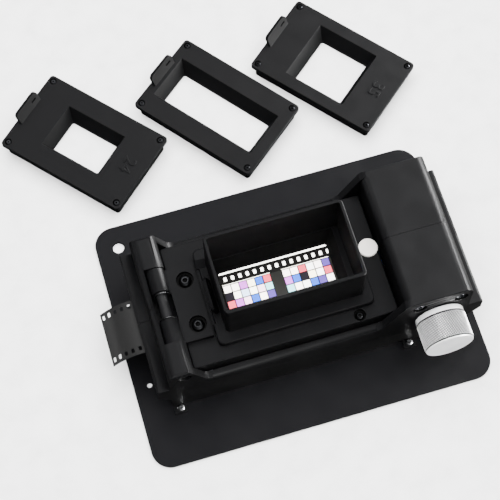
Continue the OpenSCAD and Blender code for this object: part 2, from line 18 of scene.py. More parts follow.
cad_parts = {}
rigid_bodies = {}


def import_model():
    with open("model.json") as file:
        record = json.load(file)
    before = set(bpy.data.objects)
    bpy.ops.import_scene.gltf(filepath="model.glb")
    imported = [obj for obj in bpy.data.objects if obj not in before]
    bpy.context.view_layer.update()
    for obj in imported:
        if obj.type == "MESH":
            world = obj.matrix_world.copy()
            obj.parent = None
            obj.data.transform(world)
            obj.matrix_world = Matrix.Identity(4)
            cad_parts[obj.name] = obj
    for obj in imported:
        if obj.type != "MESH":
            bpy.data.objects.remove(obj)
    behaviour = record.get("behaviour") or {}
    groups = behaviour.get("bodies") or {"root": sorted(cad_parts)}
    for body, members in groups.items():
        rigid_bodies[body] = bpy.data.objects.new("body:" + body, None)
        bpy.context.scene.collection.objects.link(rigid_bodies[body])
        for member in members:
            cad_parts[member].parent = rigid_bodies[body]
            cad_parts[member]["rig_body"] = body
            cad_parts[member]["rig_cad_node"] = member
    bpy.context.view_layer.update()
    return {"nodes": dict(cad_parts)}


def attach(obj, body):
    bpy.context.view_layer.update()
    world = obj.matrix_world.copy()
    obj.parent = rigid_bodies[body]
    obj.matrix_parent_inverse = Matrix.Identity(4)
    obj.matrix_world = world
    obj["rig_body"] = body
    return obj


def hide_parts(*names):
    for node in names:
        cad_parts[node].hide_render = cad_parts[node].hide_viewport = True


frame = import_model()

LOG = logging.getLogger("film_carrier")
MM = 0.001
Point = tuple[float, float, float]
Pair = tuple[float, float]
Obj = bpy.types.Object
Tree = bpy.types.NodeTree
Socket = bpy.types.NodeSocket
PointTest = Callable[[Vector, Vector], bool]
ALONG_Y: Point = (0.0, 1.0, 0.0)
ALONG_Z: Point = (0.0, 0.0, 1.0)
FORWARD: Point = (0.0, -1.0, 0.0)


class Body(Enum):
    """The moving bodies that pieces ride on."""

    CARRIER = "carrier"
    LID = "lid"
    WINDER = "winder"
    PINCH = "pinch"
    FILM = "film"


# ---------------------------------------------------------------- shaders


def linear(colour: str) -> tuple[float, float, float, float]:
    """Turns an sRGB hex colour into linear light.

    Args:
        colour: six hex digits after a hash.

    Returns:
        Linear red, green and blue, and an alpha of one.
    """
    parts = [int(colour[i : i + 2], 16) / 255 for i in (1, 3, 5)]
    red, green, blue = (
        p / 12.92 if p <= 0.04045 else ((p + 0.055) / 1.055) ** 2.4 for p in parts
    )
    return (red, green, blue, 1.0)


def add_node(tree: Tree, kind: str, inputs: dict[Any, Any], **settings: Any) -> bpy.types.Node:
    """Adds a shader node with its settings, values and links.

    Args:
        tree: the material's node tree.
        kind: the node's class name after "ShaderNode".
        inputs: for each socket's name or number, a value or another node's output.
        settings: the node's own properties.

    Returns:
        The new node.
    """
    new = tree.nodes.new("ShaderNode" + kind)
    for name, value in settings.items():
        setattr(new, name, value)
    for socket, value in inputs.items():
        if isinstance(value, Socket):
            tree.links.new(value, new.inputs[socket])
        else:
            new.inputs[socket].default_value = value
    return new


@dataclass(frozen=True)
class Finish:
    """A surface: what it is made of and how it was made. Lengths are in millimetres."""

    name: str
    colour: str
    roughness: float
    metallic: float = 0.0
    grain: float = 0.8
    grain_depth: float = 0.02
    mottle: float = 0.05
    blotch: float = 14.0
    specular: float = 0.5
    tones: Pair = (0.86, 1.16)

    def material(self) -> bpy.types.Material:
        """Makes the material on first use and gives it back afterwards.

        Returns:
            The material.
        """
        found = bpy.data.materials.get(self.name)
        if found:
            return found
        made = bpy.data.materials.new(self.name)
        made.use_nodes = True
        tree = made.node_tree
        shader = tree.nodes["Principled BSDF"]
        shader.inputs["Metallic"].default_value = self.metallic
        shader.inputs["Specular IOR Level"].default_value = self.specular
        place = add_node(tree, "TexCoord", {}).outputs["Object"]
        self.dress(tree, shader, place)
        return made

    def dress(self, tree: Tree, shader: bpy.types.Node, place: Socket) -> None:
        """Adds the uneven gloss, the tone and the relief to the shader.

        Args:
            tree: the material's node tree.
            shader: the Principled shader.
            place: the piece's own coordinates, in metres.
        """
        spots = {"Vector": place, "Scale": 1 / (self.blotch * MM), "Detail": 4.0}
        cloud = add_node(tree, "TexNoise", spots).outputs["Fac"]
        low, high = self.roughness - self.mottle, self.roughness + self.mottle
        spread = {"Value": cloud, "From Min": 0.3, "From Max": 0.7, "To Min": low, "To Max": high}
        gloss = add_node(tree, "MapRange", spread).outputs["Result"]
        tree.links.new(gloss, shader.inputs["Roughness"])
        self.tone(tree, shader, cloud)
        height, depth = self.relief(tree, place), self.grain_depth * MM
        bump = add_node(tree, "Bump", {"Height": height, "Strength": 1.0, "Distance": depth})
        tree.links.new(bump.outputs["Normal"], shader.inputs["Normal"])

    def tone(self, tree: Tree, shader: bpy.types.Node, cloud: Socket) -> None:
        """Mixes a slightly lighter tone into the colour, in soft clouds.

        Args:
            tree: the material's node tree.
            shader: the Principled shader.
            cloud: the pattern of the clouds.
        """
        dark, light = ([c * share for c in linear(self.colour)[:3]] + [1.0] for share in self.tones)
        # by number, since the colour mix shares its sockets' names with the other types of mix
        mix = add_node(tree, "Mix", {0: cloud, 6: dark, 7: light}, data_type="RGBA")
        tree.links.new(mix.outputs[2], shader.inputs["Base Color"])

    def relief(self, tree: Tree, place: Socket) -> Socket:
        """Draws the grain of the mould or of the blasting, as a pattern of heights."""
        spots = {"Vector": place, "Scale": 1 / (self.grain * MM), "Detail": 3.0}
        return add_node(tree, "TexNoise", spots).outputs["Fac"]


@dataclass(frozen=True)
class TurnedFinish(Finish):
    """Metal cut on a lathe: fine rings about an axis on the faces and the rims."""

    axis: str = "Y"
    centre: Point = (0.0, 0.0, 0.0)
    ring: float = 0.5

    def relief(self, tree: Tree, place: Socket) -> Socket:
        """Draws the lathe's rings.

        Args:
            tree: the material's node tree.
            place: the piece's own coordinates, in metres.

        Returns:
            The pattern of their height.
        """
        shift = [-c * MM for c in self.centre]
        centred = add_node(tree, "Mapping", {"Vector": place, "Location": shift}).outputs["Vector"]
        # one ring of the wave is 6.28 units wide, whatever its scale
        scale = 1 / (self.ring * MM) / 6.28
        waves = {"Vector": centred, "Scale": scale, "Distortion": 0.4}
        rings = add_node(tree, "TexWave", waves, wave_type="RINGS", rings_direction=self.axis)
        return rings.outputs["Fac"]


@dataclass(frozen=True)
class KnurledFinish(TurnedFinish):
    """Turned metal with a rolled band, with painted shade darkening its valleys and grooves."""

    # the crests' radius, and the depths below it where the painted shade starts and where it is
    # full
    crest: float = 15.4
    shade_start: float = 0.16
    shade_full: float = 0.44
    band: Pair = (-67.35, -50.2)
    valley_shade: str = "#1e1e20"

    def tone(self, tree: Tree, shader: bpy.types.Node, cloud: Socket) -> None:
        """Paints shade on what lies deeper than the crests, between the two ends of the band.

        Args:
            tree: the material's node tree.
            shader: the Principled shader.
            cloud: the pattern of the clouds.
        """
        super().tone(tree, shader, cloud)
        bright = shader.inputs["Base Color"].links[0].from_socket
        place = add_node(tree, "TexCoord", {}).outputs["Object"]
        shift, scale = (-self.centre[0], 0.0, -self.centre[2]), (1 / MM, 0.0, 1 / MM)
        to_axis = {"Vector": place, "Location": shift, "Scale": scale}
        flat = add_node(tree, "Mapping", to_axis).outputs[0]
        radius = add_node(tree, "VectorMath", {0: flat}, operation="LENGTH").outputs["Value"]
        start, end = self.crest - self.shade_start, self.crest - self.shade_full
        depth = {"Value": radius, "From Min": start, "From Max": end}
        deep = add_node(tree, "MapRange", depth).outputs["Result"]
        first, last = self.band
        along = add_node(tree, "SeparateXYZ", {0: place}).outputs[1]
        middle, half = (first + last) / 2 * MM, (last - first) / 2 * MM
        inside = add_node(tree, "Math", {0: along, 1: middle, 2: half}, operation="COMPARE")
        share = add_node(tree, "Math", {0: deep, 1: inside.outputs[0]}, operation="MULTIPLY")
        # painted shade: the valleys and grooves are mixed towards a dark colour
        tones = {0: share.outputs[0], 6: bright, 7: linear(self.valley_shade)}
        mix = add_node(tree, "Mix", tones, data_type="RGBA")
        tree.links.new(mix.outputs[2], shader.inputs["Base Color"])


@dataclass(frozen=True)
class GlowFinish(Finish):
    """Opal acrylic over a light source: milky, and lit evenly from below."""

    glow: float = 1.0
    glow_colour: str = "#fffdf6"

    def dress(self, tree: Tree, shader: bpy.types.Node, place: Socket) -> None:
        """Adds the light that comes through the sheet.

        Args:
            tree: the material's node tree.
            shader: the Principled shader.
            place: the piece's own coordinates, in metres.
        """
        super().dress(tree, shader, place)
        shader.inputs["Emission Color"].default_value = linear(self.glow_colour)
        shader.inputs["Emission Strength"].default_value = self.glow


@dataclass(frozen=True)
class FilmFinish(Finish):
    """Colour slide film: black rebates, and frames that show small patches of colour.

    The exposed part lets light through; the leader, left of `leader_x`, is opaque. A thin line
    over each chart is clear.
    """

    frame_pitch: float = 38.0
    frame_start: float = -0.2
    chart: Pair = (30.6, 21.0)
    chart_y: float = 10.0
    columns: int = 6
    rows: int = 4
    line: float = 0.6
    clear_line: Pair = (0.4, 0.2)
    leader_x: float = -74.0
    ior: float = 1.3
    gap_colour: str = "#121211"
    leader_colour: str = "#191919"
    clear_colour: str = "#fbfaf4"
    patches: str = (
        "#fffef8 #fff8f8 #90cbd4 #fbfcfe #4a3887 #fff8e2 #c24458 "
        "#fffef8 #1b53bd #b355c6 #eacde3 #100d14 #bacde9"
    )

    def dress(self, tree: Tree, shader: bpy.types.Node, place: Socket) -> None:
        """Draws rebates, frames and leader, and lets the light through.

        Args:
            tree: the material's node tree.
            shader: the Principled shader.
            place: the piece's own coordinates, in metres.
        """
        width, height = self.chart
        scaled = add_node(tree, "Mapping", {"Vector": place, "Scale": (1 / MM,) * 3}).outputs[0]
        along, across, _ = add_node(tree, "SeparateXYZ", {0: scaled}).outputs
        ends = {0: along, 1: self.frame_start + self.frame_pitch, 2: self.frame_start}
        left = add_node(tree, "Math", ends, operation="WRAP").outputs[0]
        # each frame starts four rows further on in the pattern, so that no two are the same
        turn = add_node(tree, "Math", {0: along, 1: left}, operation="SUBTRACT").outputs[0]
        skip = {0: turn, 1: 4 * height / self.rows / self.frame_pitch, 2: across}
        row = add_node(tree, "Math", skip, operation="MULTIPLY_ADD").outputs[0]
        middle = self.frame_start + self.frame_pitch / 2
        shift = (width / 2 - middle, height - self.chart_y, 0.0)
        corner = add_node(tree, "CombineXYZ", {0: left, 1: row}).outputs[0]
        cell = add_node(tree, "Mapping", {"Vector": corner, "Location": shift})
        bricks = add_node(
            tree,
            "TexBrick",
            {
                "Vector": cell.outputs[0],
                "Color1": linear("#000000"),
                "Color2": linear("#ffffff"),
                "Mortar": linear("#000000"),
                "Scale": 1.0,
                "Mortar Size": self.line / 2,
                "Mortar Smooth": 0.0,
                "Brick Width": width / self.columns,
                "Row Height": height / self.rows,
            },
            offset=0.0,
            squash=1.0,
        ).outputs
        ramp = add_node(tree, "ValToRGB", {0: bricks["Color"]})
        ramp.color_ramp.interpolation = "CONSTANT"
        steps = ramp.color_ramp.elements
        patches = self.patches.split()
        for i, patch in enumerate(patches):
            step = steps[i] if i < 2 else steps.new(i / len(patches))
            step.position = i / len(patches)
            step.color = linear(patch)
        # inside a chart's length, inside its height, on its clear line, and past the leader
        rise, half = self.clear_line
        in_x, in_y, over, exposed = (
            add_node(tree, "Math", values, operation=operation).outputs[0]
            for operation, values in (
                ("COMPARE", {0: left, 1: middle, 2: width / 2}),
                ("COMPARE", {0: across, 1: self.chart_y - height / 2, 2: height / 2}),
                ("COMPARE", {0: across, 1: self.chart_y + rise, 2: half}),
                ("GREATER_THAN", {0: along, 1: self.leader_x}),
            )
        )
        black = linear(self.colour)
        colour = linear(self.leader_colour)
        for tone, *shares in (
            (black, exposed),
            (linear(self.gap_colour), exposed, in_y),
            (ramp.outputs[0], exposed, in_y, in_x),
            (black, exposed, in_y, in_x, bricks["Fac"]),
            (linear(self.clear_colour), exposed, over, in_x),
        ):
            part = shares[0]
            for other in shares[1:]:
                both = {0: part, 1: other}
                part = add_node(tree, "Math", both, operation="MULTIPLY").outputs[0]
            tones = {0: part, 6: colour, 7: tone}
            colour = add_node(tree, "Mix", tones, data_type="RGBA").outputs[2]
        tree.links.new(colour, shader.inputs["Base Color"])
        tree.links.new(exposed, shader.inputs["Transmission Weight"])
        shader.inputs["IOR"].default_value = self.ior
        shader.inputs["Roughness"].default_value = self.roughness


# moulded ABS: satin black with a fine spark-eroded grain, drawn twice as coarse as it is
HOUSING_ABS = Finish(
    "moulded_black_abs", "#0a0a0b", 0.46, grain=0.9, grain_depth=0.02, specular=0.23
)
LID_ABS = Finish("satin_black_abs", "#0a0a0b", 0.42, grain=0.8, grain_depth=0.015, specular=0.18)
# the gates come from a coarser mould, so they shine less
GATE_ABS = Finish("matt_black_abs", "#09090a", 0.5, grain=0.9, grain_depth=0.03, specular=0.24)
# dead matt black: matt paint inside the hood, where stray light would veil the film, and painted
# shade in counterbores, screw sockets and the fitted gate's window walls
MATT_BLACK_AND_SHADE = Finish("matt_black_and_painted_shade", "#080808", 0.9, grain=0.4, grain_depth=0.03, specular=0.06)
# bead-blasted and dyed aluminium: nearly matt, with a cool tone
BLACK_ANODISED = Finish(
    "black_anodised_aluminium", "#0a0a0c", 0.42, grain=0.7, grain_depth=0.012, specular=0.2
)
# clear anodised bar, turned and knurled: bright and slightly silky, with painted shade in the
# knurl's valleys and grooves
KNOB_ALUMINIUM = KnurledFinish(
    "turned_anodised_aluminium", "#fcfcfd", 0.34, 0.36, grain_depth=0.004, centre=(86.0, 0.0, 40.0)
)
# blackened screw steel: dark with bright glints
OXIDE_STEEL = Finish("black_oxide_steel", "#7c7d82", 0.26, metallic=1.0, grain_depth=0.004)
# the gates' small screws are freshly blackened, and darker
NEW_OXIDE_STEEL = Finish("fresh_oxide_steel", "#47484b", 0.26, metallic=1.0, grain_depth=0.004)
# the larger button heads are worn to a soft grey
GREY_STEEL = Finish("phosphated_steel", "#626366", 0.3, metallic=1.0, grain_depth=0.006)
# zinc plated: bright, slightly blue and cloudy
ZINC_STEEL = Finish("zinc_plated_steel", "#d4d5d7", 0.24, metallic=1.0, grain_depth=0.004)
# ground bar: bright and even, with fine rings at its ends
GROUND_STEEL = TurnedFinish(
    "ground_steel", "#b4b5b8", 0.28, metallic=1.0, grain_depth=0.002, ring=0.4
)
# the hinge pin is oiled and has gone dark
DARK_STEEL = TurnedFinish(
    "browned_steel", "#131314", 0.4, specular=0.45, grain_depth=0.002, ring=0.4
)
# nickel over a sintered disc: soft, faintly warm, with the rings of its grinding
PLATED_MAGNET = TurnedFinish(
    "nickel_plated_magnet",
    "#f3efe8",
    0.42,
    metallic=0.4,
    grain_depth=0.006,
    axis="Z",
    centre=(57.2, 4.0, 0.0),
    ring=0.8,
)
# turned brass bushes: warm, with the lathe's rings on their flanges
BRASS = TurnedFinish(
    "turned_brass", "#b8924f", 0.28, metallic=1.0, grain_depth=0.003, centre=(86.0, 0.0, 40.0)
)
# the tyres' rubber is dull, the roller's acetal waxy, and the tunnel's white plastic matt
RUBBER = Finish("moulded_rubber", "#161616", 0.78, grain=0.5, grain_depth=0.03)
ACETAL = Finish("white_acetal", "#dcdcd8", 0.38, grain=0.6, grain_depth=0.006)
TUNNEL_PLASTIC = Finish("white_moulded_plastic", "#ecece8", 0.55, grain=0.8, grain_depth=0.02)
# milky sheet over the lamp, and the strip of slide film that lies on it
OPAL_ACRYLIC = GlowFinish("opal_acrylic", "#f4f4f0", 0.35, grain_depth=0.002, glow=6.0)
SLIDE_FILM = FilmFinish("colour_slide_film", "#060505", 0.3)


# ---------------------------------------------------------------- bench tools


def clear_selection() -> None:
    """Goes back to object mode with nothing selected."""
    if bpy.context.mode != "OBJECT":
        bpy.ops.object.mode_set(mode="OBJECT")
    bpy.ops.object.select_all(action="DESELECT")


def take(obj: Obj) -> None:
    """Makes one object the only selected and the active one.

    Args:
        obj: the object.
    """
    clear_selection()
    obj.select_set(True)
    bpy.context.view_layer.objects.active = obj


@contextmanager
def edit(obj: Obj, mode: str = "VERT") -> Iterator[None]:
    """Opens a piece in edit mode with all of it selected, and closes it afterwards.

    Args:
        obj: the piece.
        mode: what is selected: "VERT", "EDGE" or "FACE".

    Returns:
        The context to edit it in.
    """
    take(obj)
    bpy.ops.object.mode_set(mode="EDIT")
    bpy.ops.mesh.select_mode(type=mode)
    bpy.ops.mesh.select_all(action="SELECT")
    yield
    bpy.ops.object.mode_set(mode="OBJECT")


def settle(name: str) -> Obj:
    """Names the active object and moves its place and turn into its mesh.

    Args:
        name: the piece's name.

    Returns:
        The object.
    """
    obj = bpy.context.object
    obj.name = obj.data.name = name
    bpy.ops.object.transform_apply(location=True, rotation=True, scale=True)
    return obj


def cuboid(name: str, low: Point, high: Point) -> Obj:
    """Adds a box between two corners.

    Args:
        name: the piece's name.
        low: its lowest corner.
        high: its highest corner.

    Returns:
        The box.
    """
    clear_selection()
    size = [b - a for a, b in zip(low, high)]
    centre = [(a + b) / 2 for a, b in zip(low, high)]
    bpy.ops.mesh.primitive_cube_add(size=1, location=centre, scale=size)
    return settle(name)


def round_box(
    name: str, low: Point, high: Point, corner: float, edge: float = 0.0, steps: int = 6
) -> Obj:
    """Adds a slab with round upright corners and a rounded top rim.

    Args:
        name: the piece's name.
        low: its lowest corner.
        high: its highest corner.
        corner: the radius of the upright corners.
        edge: the radius of the rim round the top face.
        steps: the number of flats in each corner.

    Returns:
        The slab.
    """
    obj = cuboid(name, low, high)
    round_edges(obj, lambda a, b: abs(a.z - b.z) > 1e-4, corner, steps)
    if edge:
        round_edges(obj, lambda a, b: min(a.z, b.z) > high[2] - 1e-3, edge, 3)
    return obj


def rod(name: str, start: Point, axis: str, length: float, radius: float, sides: int = 64) -> Obj:
    """Adds a cylinder from a point along an axis.

    Args:
        name: the piece's name.
        start: the centre of its first end.
        axis: "X", "Y" or "Z".
        length: its length along the axis.
        radius: its radius.
        sides: the number of flats.

    Returns:
        The cylinder.
    """
    clear_selection()
    direction = Vector([float(axis == c) for c in "XYZ"])
    turn = direction.to_track_quat("Z", "Y").to_euler()
    middle = Vector(start) + direction * length / 2
    bpy.ops.mesh.primitive_cylinder_add(
        vertices=sides, radius=radius, depth=abs(length), location=middle, rotation=turn
    )
    return settle(name)


def drills(
    spots: Sequence[Pair], low: float, length: float, radius: float, sides: int = 32
) -> list[Obj]:
    """Makes an upright tool for each of several holes, from a height upward."""
    return [rod("tool", (x, y, low), "Z", length, radius, sides) for x, y in spots]


def on_both_sides(*spots: Pair) -> list[Pair]:
    """Adds to each spot its mirror image across the film's centre line."""
    return [(x, side * y) for x, y in spots for side in (-1, 1)]


def trace(name: str, points: Sequence[Point], close: bool = True) -> Obj:
    """Draws an outline from one point, extruded to each next point in turn.

    Args:
        name: the piece's name.
        points: the outline's corners.
        close: whether the outline is closed and filled.

    Returns:
        The outline, as one face or as an open chain of edges.
    """
    clear_selection()
    bpy.ops.mesh.primitive_plane_add(size=0.01, location=points[0])
    obj = settle(name)
    with edit(obj):
        bpy.ops.mesh.merge(type="CENTER")
        for here, there in zip(points, points[1:]):
            step = Vector(there) - Vector(here)
            bpy.ops.mesh.extrude_region_move(TRANSFORM_OT_translate={"value": step})
        if close:
            bpy.ops.mesh.select_all(action="SELECT")
            bpy.ops.mesh.edge_face_add()
    return obj


def prism(name: str, points: Sequence[Point], way: Point) -> Obj:
    """Pulls a closed outline along a vector into a solid.

    Args:
        name: the piece's name.
        points: the outline's corners.
        way: how far and which way it is pulled.

    Returns:
        The solid.
    """
    obj = trace(name, points)
    with edit(obj):
        bpy.ops.mesh.extrude_region_move(TRANSFORM_OT_translate={"value": way})
        bpy.ops.mesh.select_all(action="SELECT")
        bpy.ops.mesh.normals_make_consistent(inside=False)
    return obj


def lathe(
    name: str,
    profile: Sequence[Pair],
    foot: Point,
    axis: Point,
    steps: int = 64,
    hoop: bool = True,
) -> Obj:
    """Spins a profile about an axis.

    Args:
        name: the piece's name.
        profile: radius and distance along the axis of each corner.
        foot: a point on the axis, where distances start.
        axis: the axis's direction.
        steps: the number of flats round the axis.
        hoop: whether a profile that never meets the axis is closed onto itself.

    Returns:
        The turned piece.
    """
    direction = Vector(axis).normalized()
    side = direction.orthogonal().normalized()
    points = [Vector(foot) + side * r + direction * d for r, d in profile]
    ring = hoop and all(r > 1e-6 for r, _ in profile)
    obj = trace(name, [tuple(p) for p in (points + points[:1] if ring else points)], False)
    with edit(obj):
        bpy.ops.mesh.spin(steps=steps, angle=math.tau, center=foot, axis=direction)
        bpy.ops.mesh.select_all(action="SELECT")
        bpy.ops.mesh.remove_doubles(threshold=1e-4)
        bpy.ops.mesh.normals_make_consistent(inside=False)
    return obj


def pick_edges(obj: Obj, test: PointTest) -> int:
    """Selects the edges whose two ends pass the test and leaves edit mode on.

    Args:
        obj: the piece.
        test: says whether an edge between two points is wanted.

    Returns:
        The number of edges selected.
    """
    with edit(obj, "EDGE"):
        bpy.ops.mesh.select_all(action="DESELECT")
    count = 0
    for edge in obj.data.edges:
        edge.select = test(*(obj.data.vertices[i].co for i in edge.vertices))
        count += edge.select
    bpy.ops.object.mode_set(mode="EDIT")
    return count


def round_edges(obj: Obj, test: PointTest, radius: float, steps: int = 4) -> None:
    """Rounds the edges that pass the test."""
    if pick_edges(obj, test):
        bpy.ops.mesh.bevel(offset=radius, segments=steps, affect="EDGES", clamp_overlap=True)
    bpy.ops.object.mode_set(mode="OBJECT")


def modify(obj: Obj, kind: str, **settings: Any) -> None:
    """Adds a modifier with its settings and applies it.

    Args:
        obj: the piece.
        kind: the modifier's type.
        settings: the modifier's own properties.
    """
    take(obj)
    modifier = obj.modifiers.new(kind.lower(), kind)
    for name, value in settings.items():
        setattr(modifier, name, value)
    bpy.ops.object.modifier_apply(modifier=modifier.name)


def cut(obj: Obj, *tools: Obj, operation: str = "DIFFERENCE") -> Obj:
    """Combines tools with a piece and deletes them.

    Args:
        obj: the piece.
        tools: the closed shapes that it is combined with, in turn.
        operation: "DIFFERENCE" to take them out, or "UNION" to make them part of it.

    Returns:
        The piece.
    """
    for tool in tools:
        modify(obj, "BOOLEAN", operation=operation, solver="EXACT", object=tool)
        bpy.data.objects.remove(tool)
    return obj


def fuse(obj: Obj, *others: Obj) -> Obj:
    """Makes the object and the others one closed body and returns it."""
    return cut(obj, *others, operation="UNION")


def gather(name: str, parts: Sequence[Obj]) -> Obj:
    """Joins separate closed parts into one object.

    Args:
        name: the object's name.
        parts: the parts.

    Returns:
        The object.
    """
    take(parts[0])
    for part in parts[1:]:
        part.select_set(True)
    if len(parts) > 1:
        bpy.ops.object.join()
    parts[0].name = parts[0].data.name = name
    return parts[0]


def soften(obj: Obj, width: float, steps: int = 2, angle: float = 32.0) -> Obj:
    """Breaks every sharp edge with a small round and smooths the shading.

    Args:
        obj: the piece.
        width: the width of the round.
        steps: the number of flats in it.
        angle: edges sharper than this many degrees are rounded.

    Returns:
        The piece.
    """
    with edit(obj):
        bpy.ops.mesh.remove_doubles(threshold=2e-3)
        bpy.ops.mesh.dissolve_limited(angle_limit=math.radians(0.4))
    modify(
        obj,
        "BEVEL",
        width=width,
        segments=steps,
        limit_method="ANGLE",
        angle_limit=math.radians(angle),
        use_clamp_overlap=True,
        harden_normals=False,
    )
    return smooth(obj)


def smooth(obj: Obj, angle: float = 40.0) -> Obj:
    """Smooths the shading of all but sharp edges.

    Args:
        obj: the piece.
        angle: edges sharper than this many degrees stay sharp.

    Returns:
        The piece.
    """
    take(obj)
    bpy.ops.object.shade_smooth_by_angle(angle=math.radians(angle))
    modify(obj, "WEIGHTED_NORMAL", keep_sharp=True, weight=50)
    return obj


def twin(obj: Obj, shift: Point = (0.0, 0.0, 0.0)) -> Obj:
    """Copies a piece with its own mesh.

    Args:
        obj: the piece.
        shift: how far the copy is moved.

    Returns:
        The copy.
    """
    take(obj)
    bpy.ops.object.duplicate(linked=False)
    copy = bpy.context.object
    copy.location = shift
    bpy.ops.object.transform_apply(location=True, rotation=False, scale=False)
    return copy


def copy_of_node(name: str, node: str) -> Obj:
    """Copies a node of the frame into a new piece, in millimetres, with its corners merged.

    Args:
        name: the piece's name.
        node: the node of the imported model.

    Returns:
        The copy, with plain edges ready to be rounded.
    """
    take(frame["nodes"][node])
    bpy.ops.object.duplicate(linked=False)
    obj = bpy.context.object
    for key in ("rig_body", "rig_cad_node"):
        del obj[key]
    obj.parent = None
    obj.scale = (1 / MM,) * 3
    obj.data.materials.clear()
    settle(name)
    with edit(obj):
        bpy.ops.mesh.remove_doubles(threshold=1e-3)
        bpy.ops.mesh.customdata_custom_splitnormals_clear()
        bpy.ops.mesh.dissolve_limited(angle_limit=math.radians(0.4))
    return obj


def hand_over(obj: Obj, body: str, slot: str, finish: Finish, *nodes: str) -> Obj:
    """Brings a finished piece to metres and puts it in its place in the frame.

    Args:
        obj: the piece, modelled in millimetres.
        body: the body that it rides on.
        slot: the material slot of the record; not used.
        finish: the surface that it gets.
        nodes: the nodes of the frame that it stands for.

    Returns:
        The piece.
    """
    take(obj)
    obj.scale = (MM,) * 3
    bpy.ops.object.transform_apply(location=True, rotation=True, scale=True)
    obj.data.materials.clear()
    obj.data.materials.append(finish.material())
    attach(obj, body)
    if nodes:
        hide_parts(*nodes)
    LOG.info("%s: %d faces, on %s", obj.name, len(obj.data.polygons), body)
    return obj


def dress_node(
    name: str, node: str, body: str, slot: str, finish: Finish, edge: float
) -> Obj:
    """Copies a node of the frame, rounds its edges and hands the copy over in its place."""
    return hand_over(soften(copy_of_node(name, node), edge), body, slot, finish, node)


def line_with(obj: Obj, finish: Finish, test: PointTest) -> None:
    """Gives some faces of a finished piece a finish of their own.

    Args:
        obj: the piece, in metres.
        finish: the other finish.
        test: says from a face's middle, in millimetres, and its normal whether it gets it.
    """
    if len(obj.data.materials) == 1:
        obj.data.materials.append(finish.material())
    for face in obj.data.polygons:
        if test(face.center / MM, face.normal):
            face.material_index = 1


def within(point: Vector, x: float, y: float, radius: float) -> bool:
    """Tells whether a point is within a radius of either of two screws, at y and at -y."""
    return math.hypot(point.x - x, abs(point.y) - y) < radius


def looks_inward(
    point: Vector, normal: Vector, middle: Pair, half: Pair, lean: float = 0.0
) -> bool:
    """Tells whether a face lies inside a rectangle and looks towards its middle.

    Args:
        point: the face's middle.
        normal: the face's normal.
        middle: the rectangle's middle.
        half: half of the rectangle's length and width.
        lean: zero, or a little less to leave out faces that hardly lean inward.

    Returns:
        Whether it does.
    """
    x, y, margin = point.x - middle[0], point.y - middle[1], 0.1
    near = abs(x) < half[0] + margin and abs(y) < half[1] + margin
    return near and normal.x * x + normal.y * y < lean


def arc(x: float, y: float, radius: float, first: float, last: float, steps: int = 8) -> list[Pair]:
    """Points of an arc about a point, from one angle to another in degrees."""
    angles = [math.radians(first + (last - first) * i / steps) for i in range(steps + 1)]
    return [(x + radius * math.cos(a), y + radius * math.sin(a)) for a in angles]


def turn_set(
    name: str, profile: Sequence[Pair], feet: Sequence[Point], axis: Point, steps: int = 64
) -> Obj:
    """Turns one profile at each foot, like `lathe`, and joins the pieces, smoothly shaded."""
    turned = [lathe(name, profile, foot, axis, steps) for foot in feet]
    return smooth(gather(name, turned), 30.0)


def bar_profile(radius: float, length: float, chamfer: float) -> list[Pair]:
    """Half the outline of a round bar with chamfered ends, from its axis back to its axis."""
    half = [(0.0, 0.0), (radius - chamfer, 0.0), (radius, chamfer)]
    return half + [(r, length - z) for r, z in reversed(half)]


# ---------------------------------------------------------------- fasteners


@dataclass(frozen=True)
class CapScrew:
    """A button or cap head screw that stands along Z, its socket at the top.

    `head`, `shank` and `socket` are radii. Of the head's height, `dome` is the share that is
    rounded and `sunk` the socket's depth.
    """

    head: float
    height: float
    shank: float
    length: float
    socket: float
    dome: float = 0.5
    sunk: float = 0.8

    def make(self, name: str) -> Obj:
        """Turns the head and the shank and sinks the socket.

        Args:
            name: the screw's name.

        Returns:
            The screw, with its head's top at the origin.
        """
        under, dome, chamfer = -self.height, self.height * self.dome, 0.12
        crown = [
            (self.head * math.cos(math.radians(a)), dome * (math.sin(math.radians(a)) - 1))
            for a in range(0, 90, 18)
        ]
        rim = max(self.socket * 1.25, self.head * 0.55)
        profile = [(0.0, under - self.length), (self.shank, under - self.length)]
        profile += [(self.shank, under), (self.head - chamfer, under)]
        profile += [(self.head, under + chamfer)] + [p for p in crown if p[0] > rim]
        profile += [(rim, 0.0), (0.0, 0.0)]
        screw = lathe(name, profile, (0.0, 0.0, 0.0), ALONG_Z, 40)
        depth = self.height * self.sunk
        return cut(screw, rod("socket", (0, 0, -depth), "Z", depth + 1, self.socket, 6))

    def set_of(self, name: str, places: Sequence[Point], tilt: Matrix | None = None) -> Obj:
        """Makes one screw and copies it to every place.

        Args:
            name: the set's name.
            places: the middle of each head's top.
            tilt: the turn from upright, if the screws don't stand along Z.

        Returns:
            All screws as one object.
        """
        first = self.make(name)
        if tilt is not None:
            first.matrix_world = tilt
            take(first)
            bpy.ops.object.transform_apply(location=True, rotation=True, scale=True)
        smooth(first, 35.0)
        parts = [twin(first, place) for place in places]
        bpy.data.objects.remove(first)
        return gather(name, parts)


# ---------------------------------------------------------------- sub-assemblies


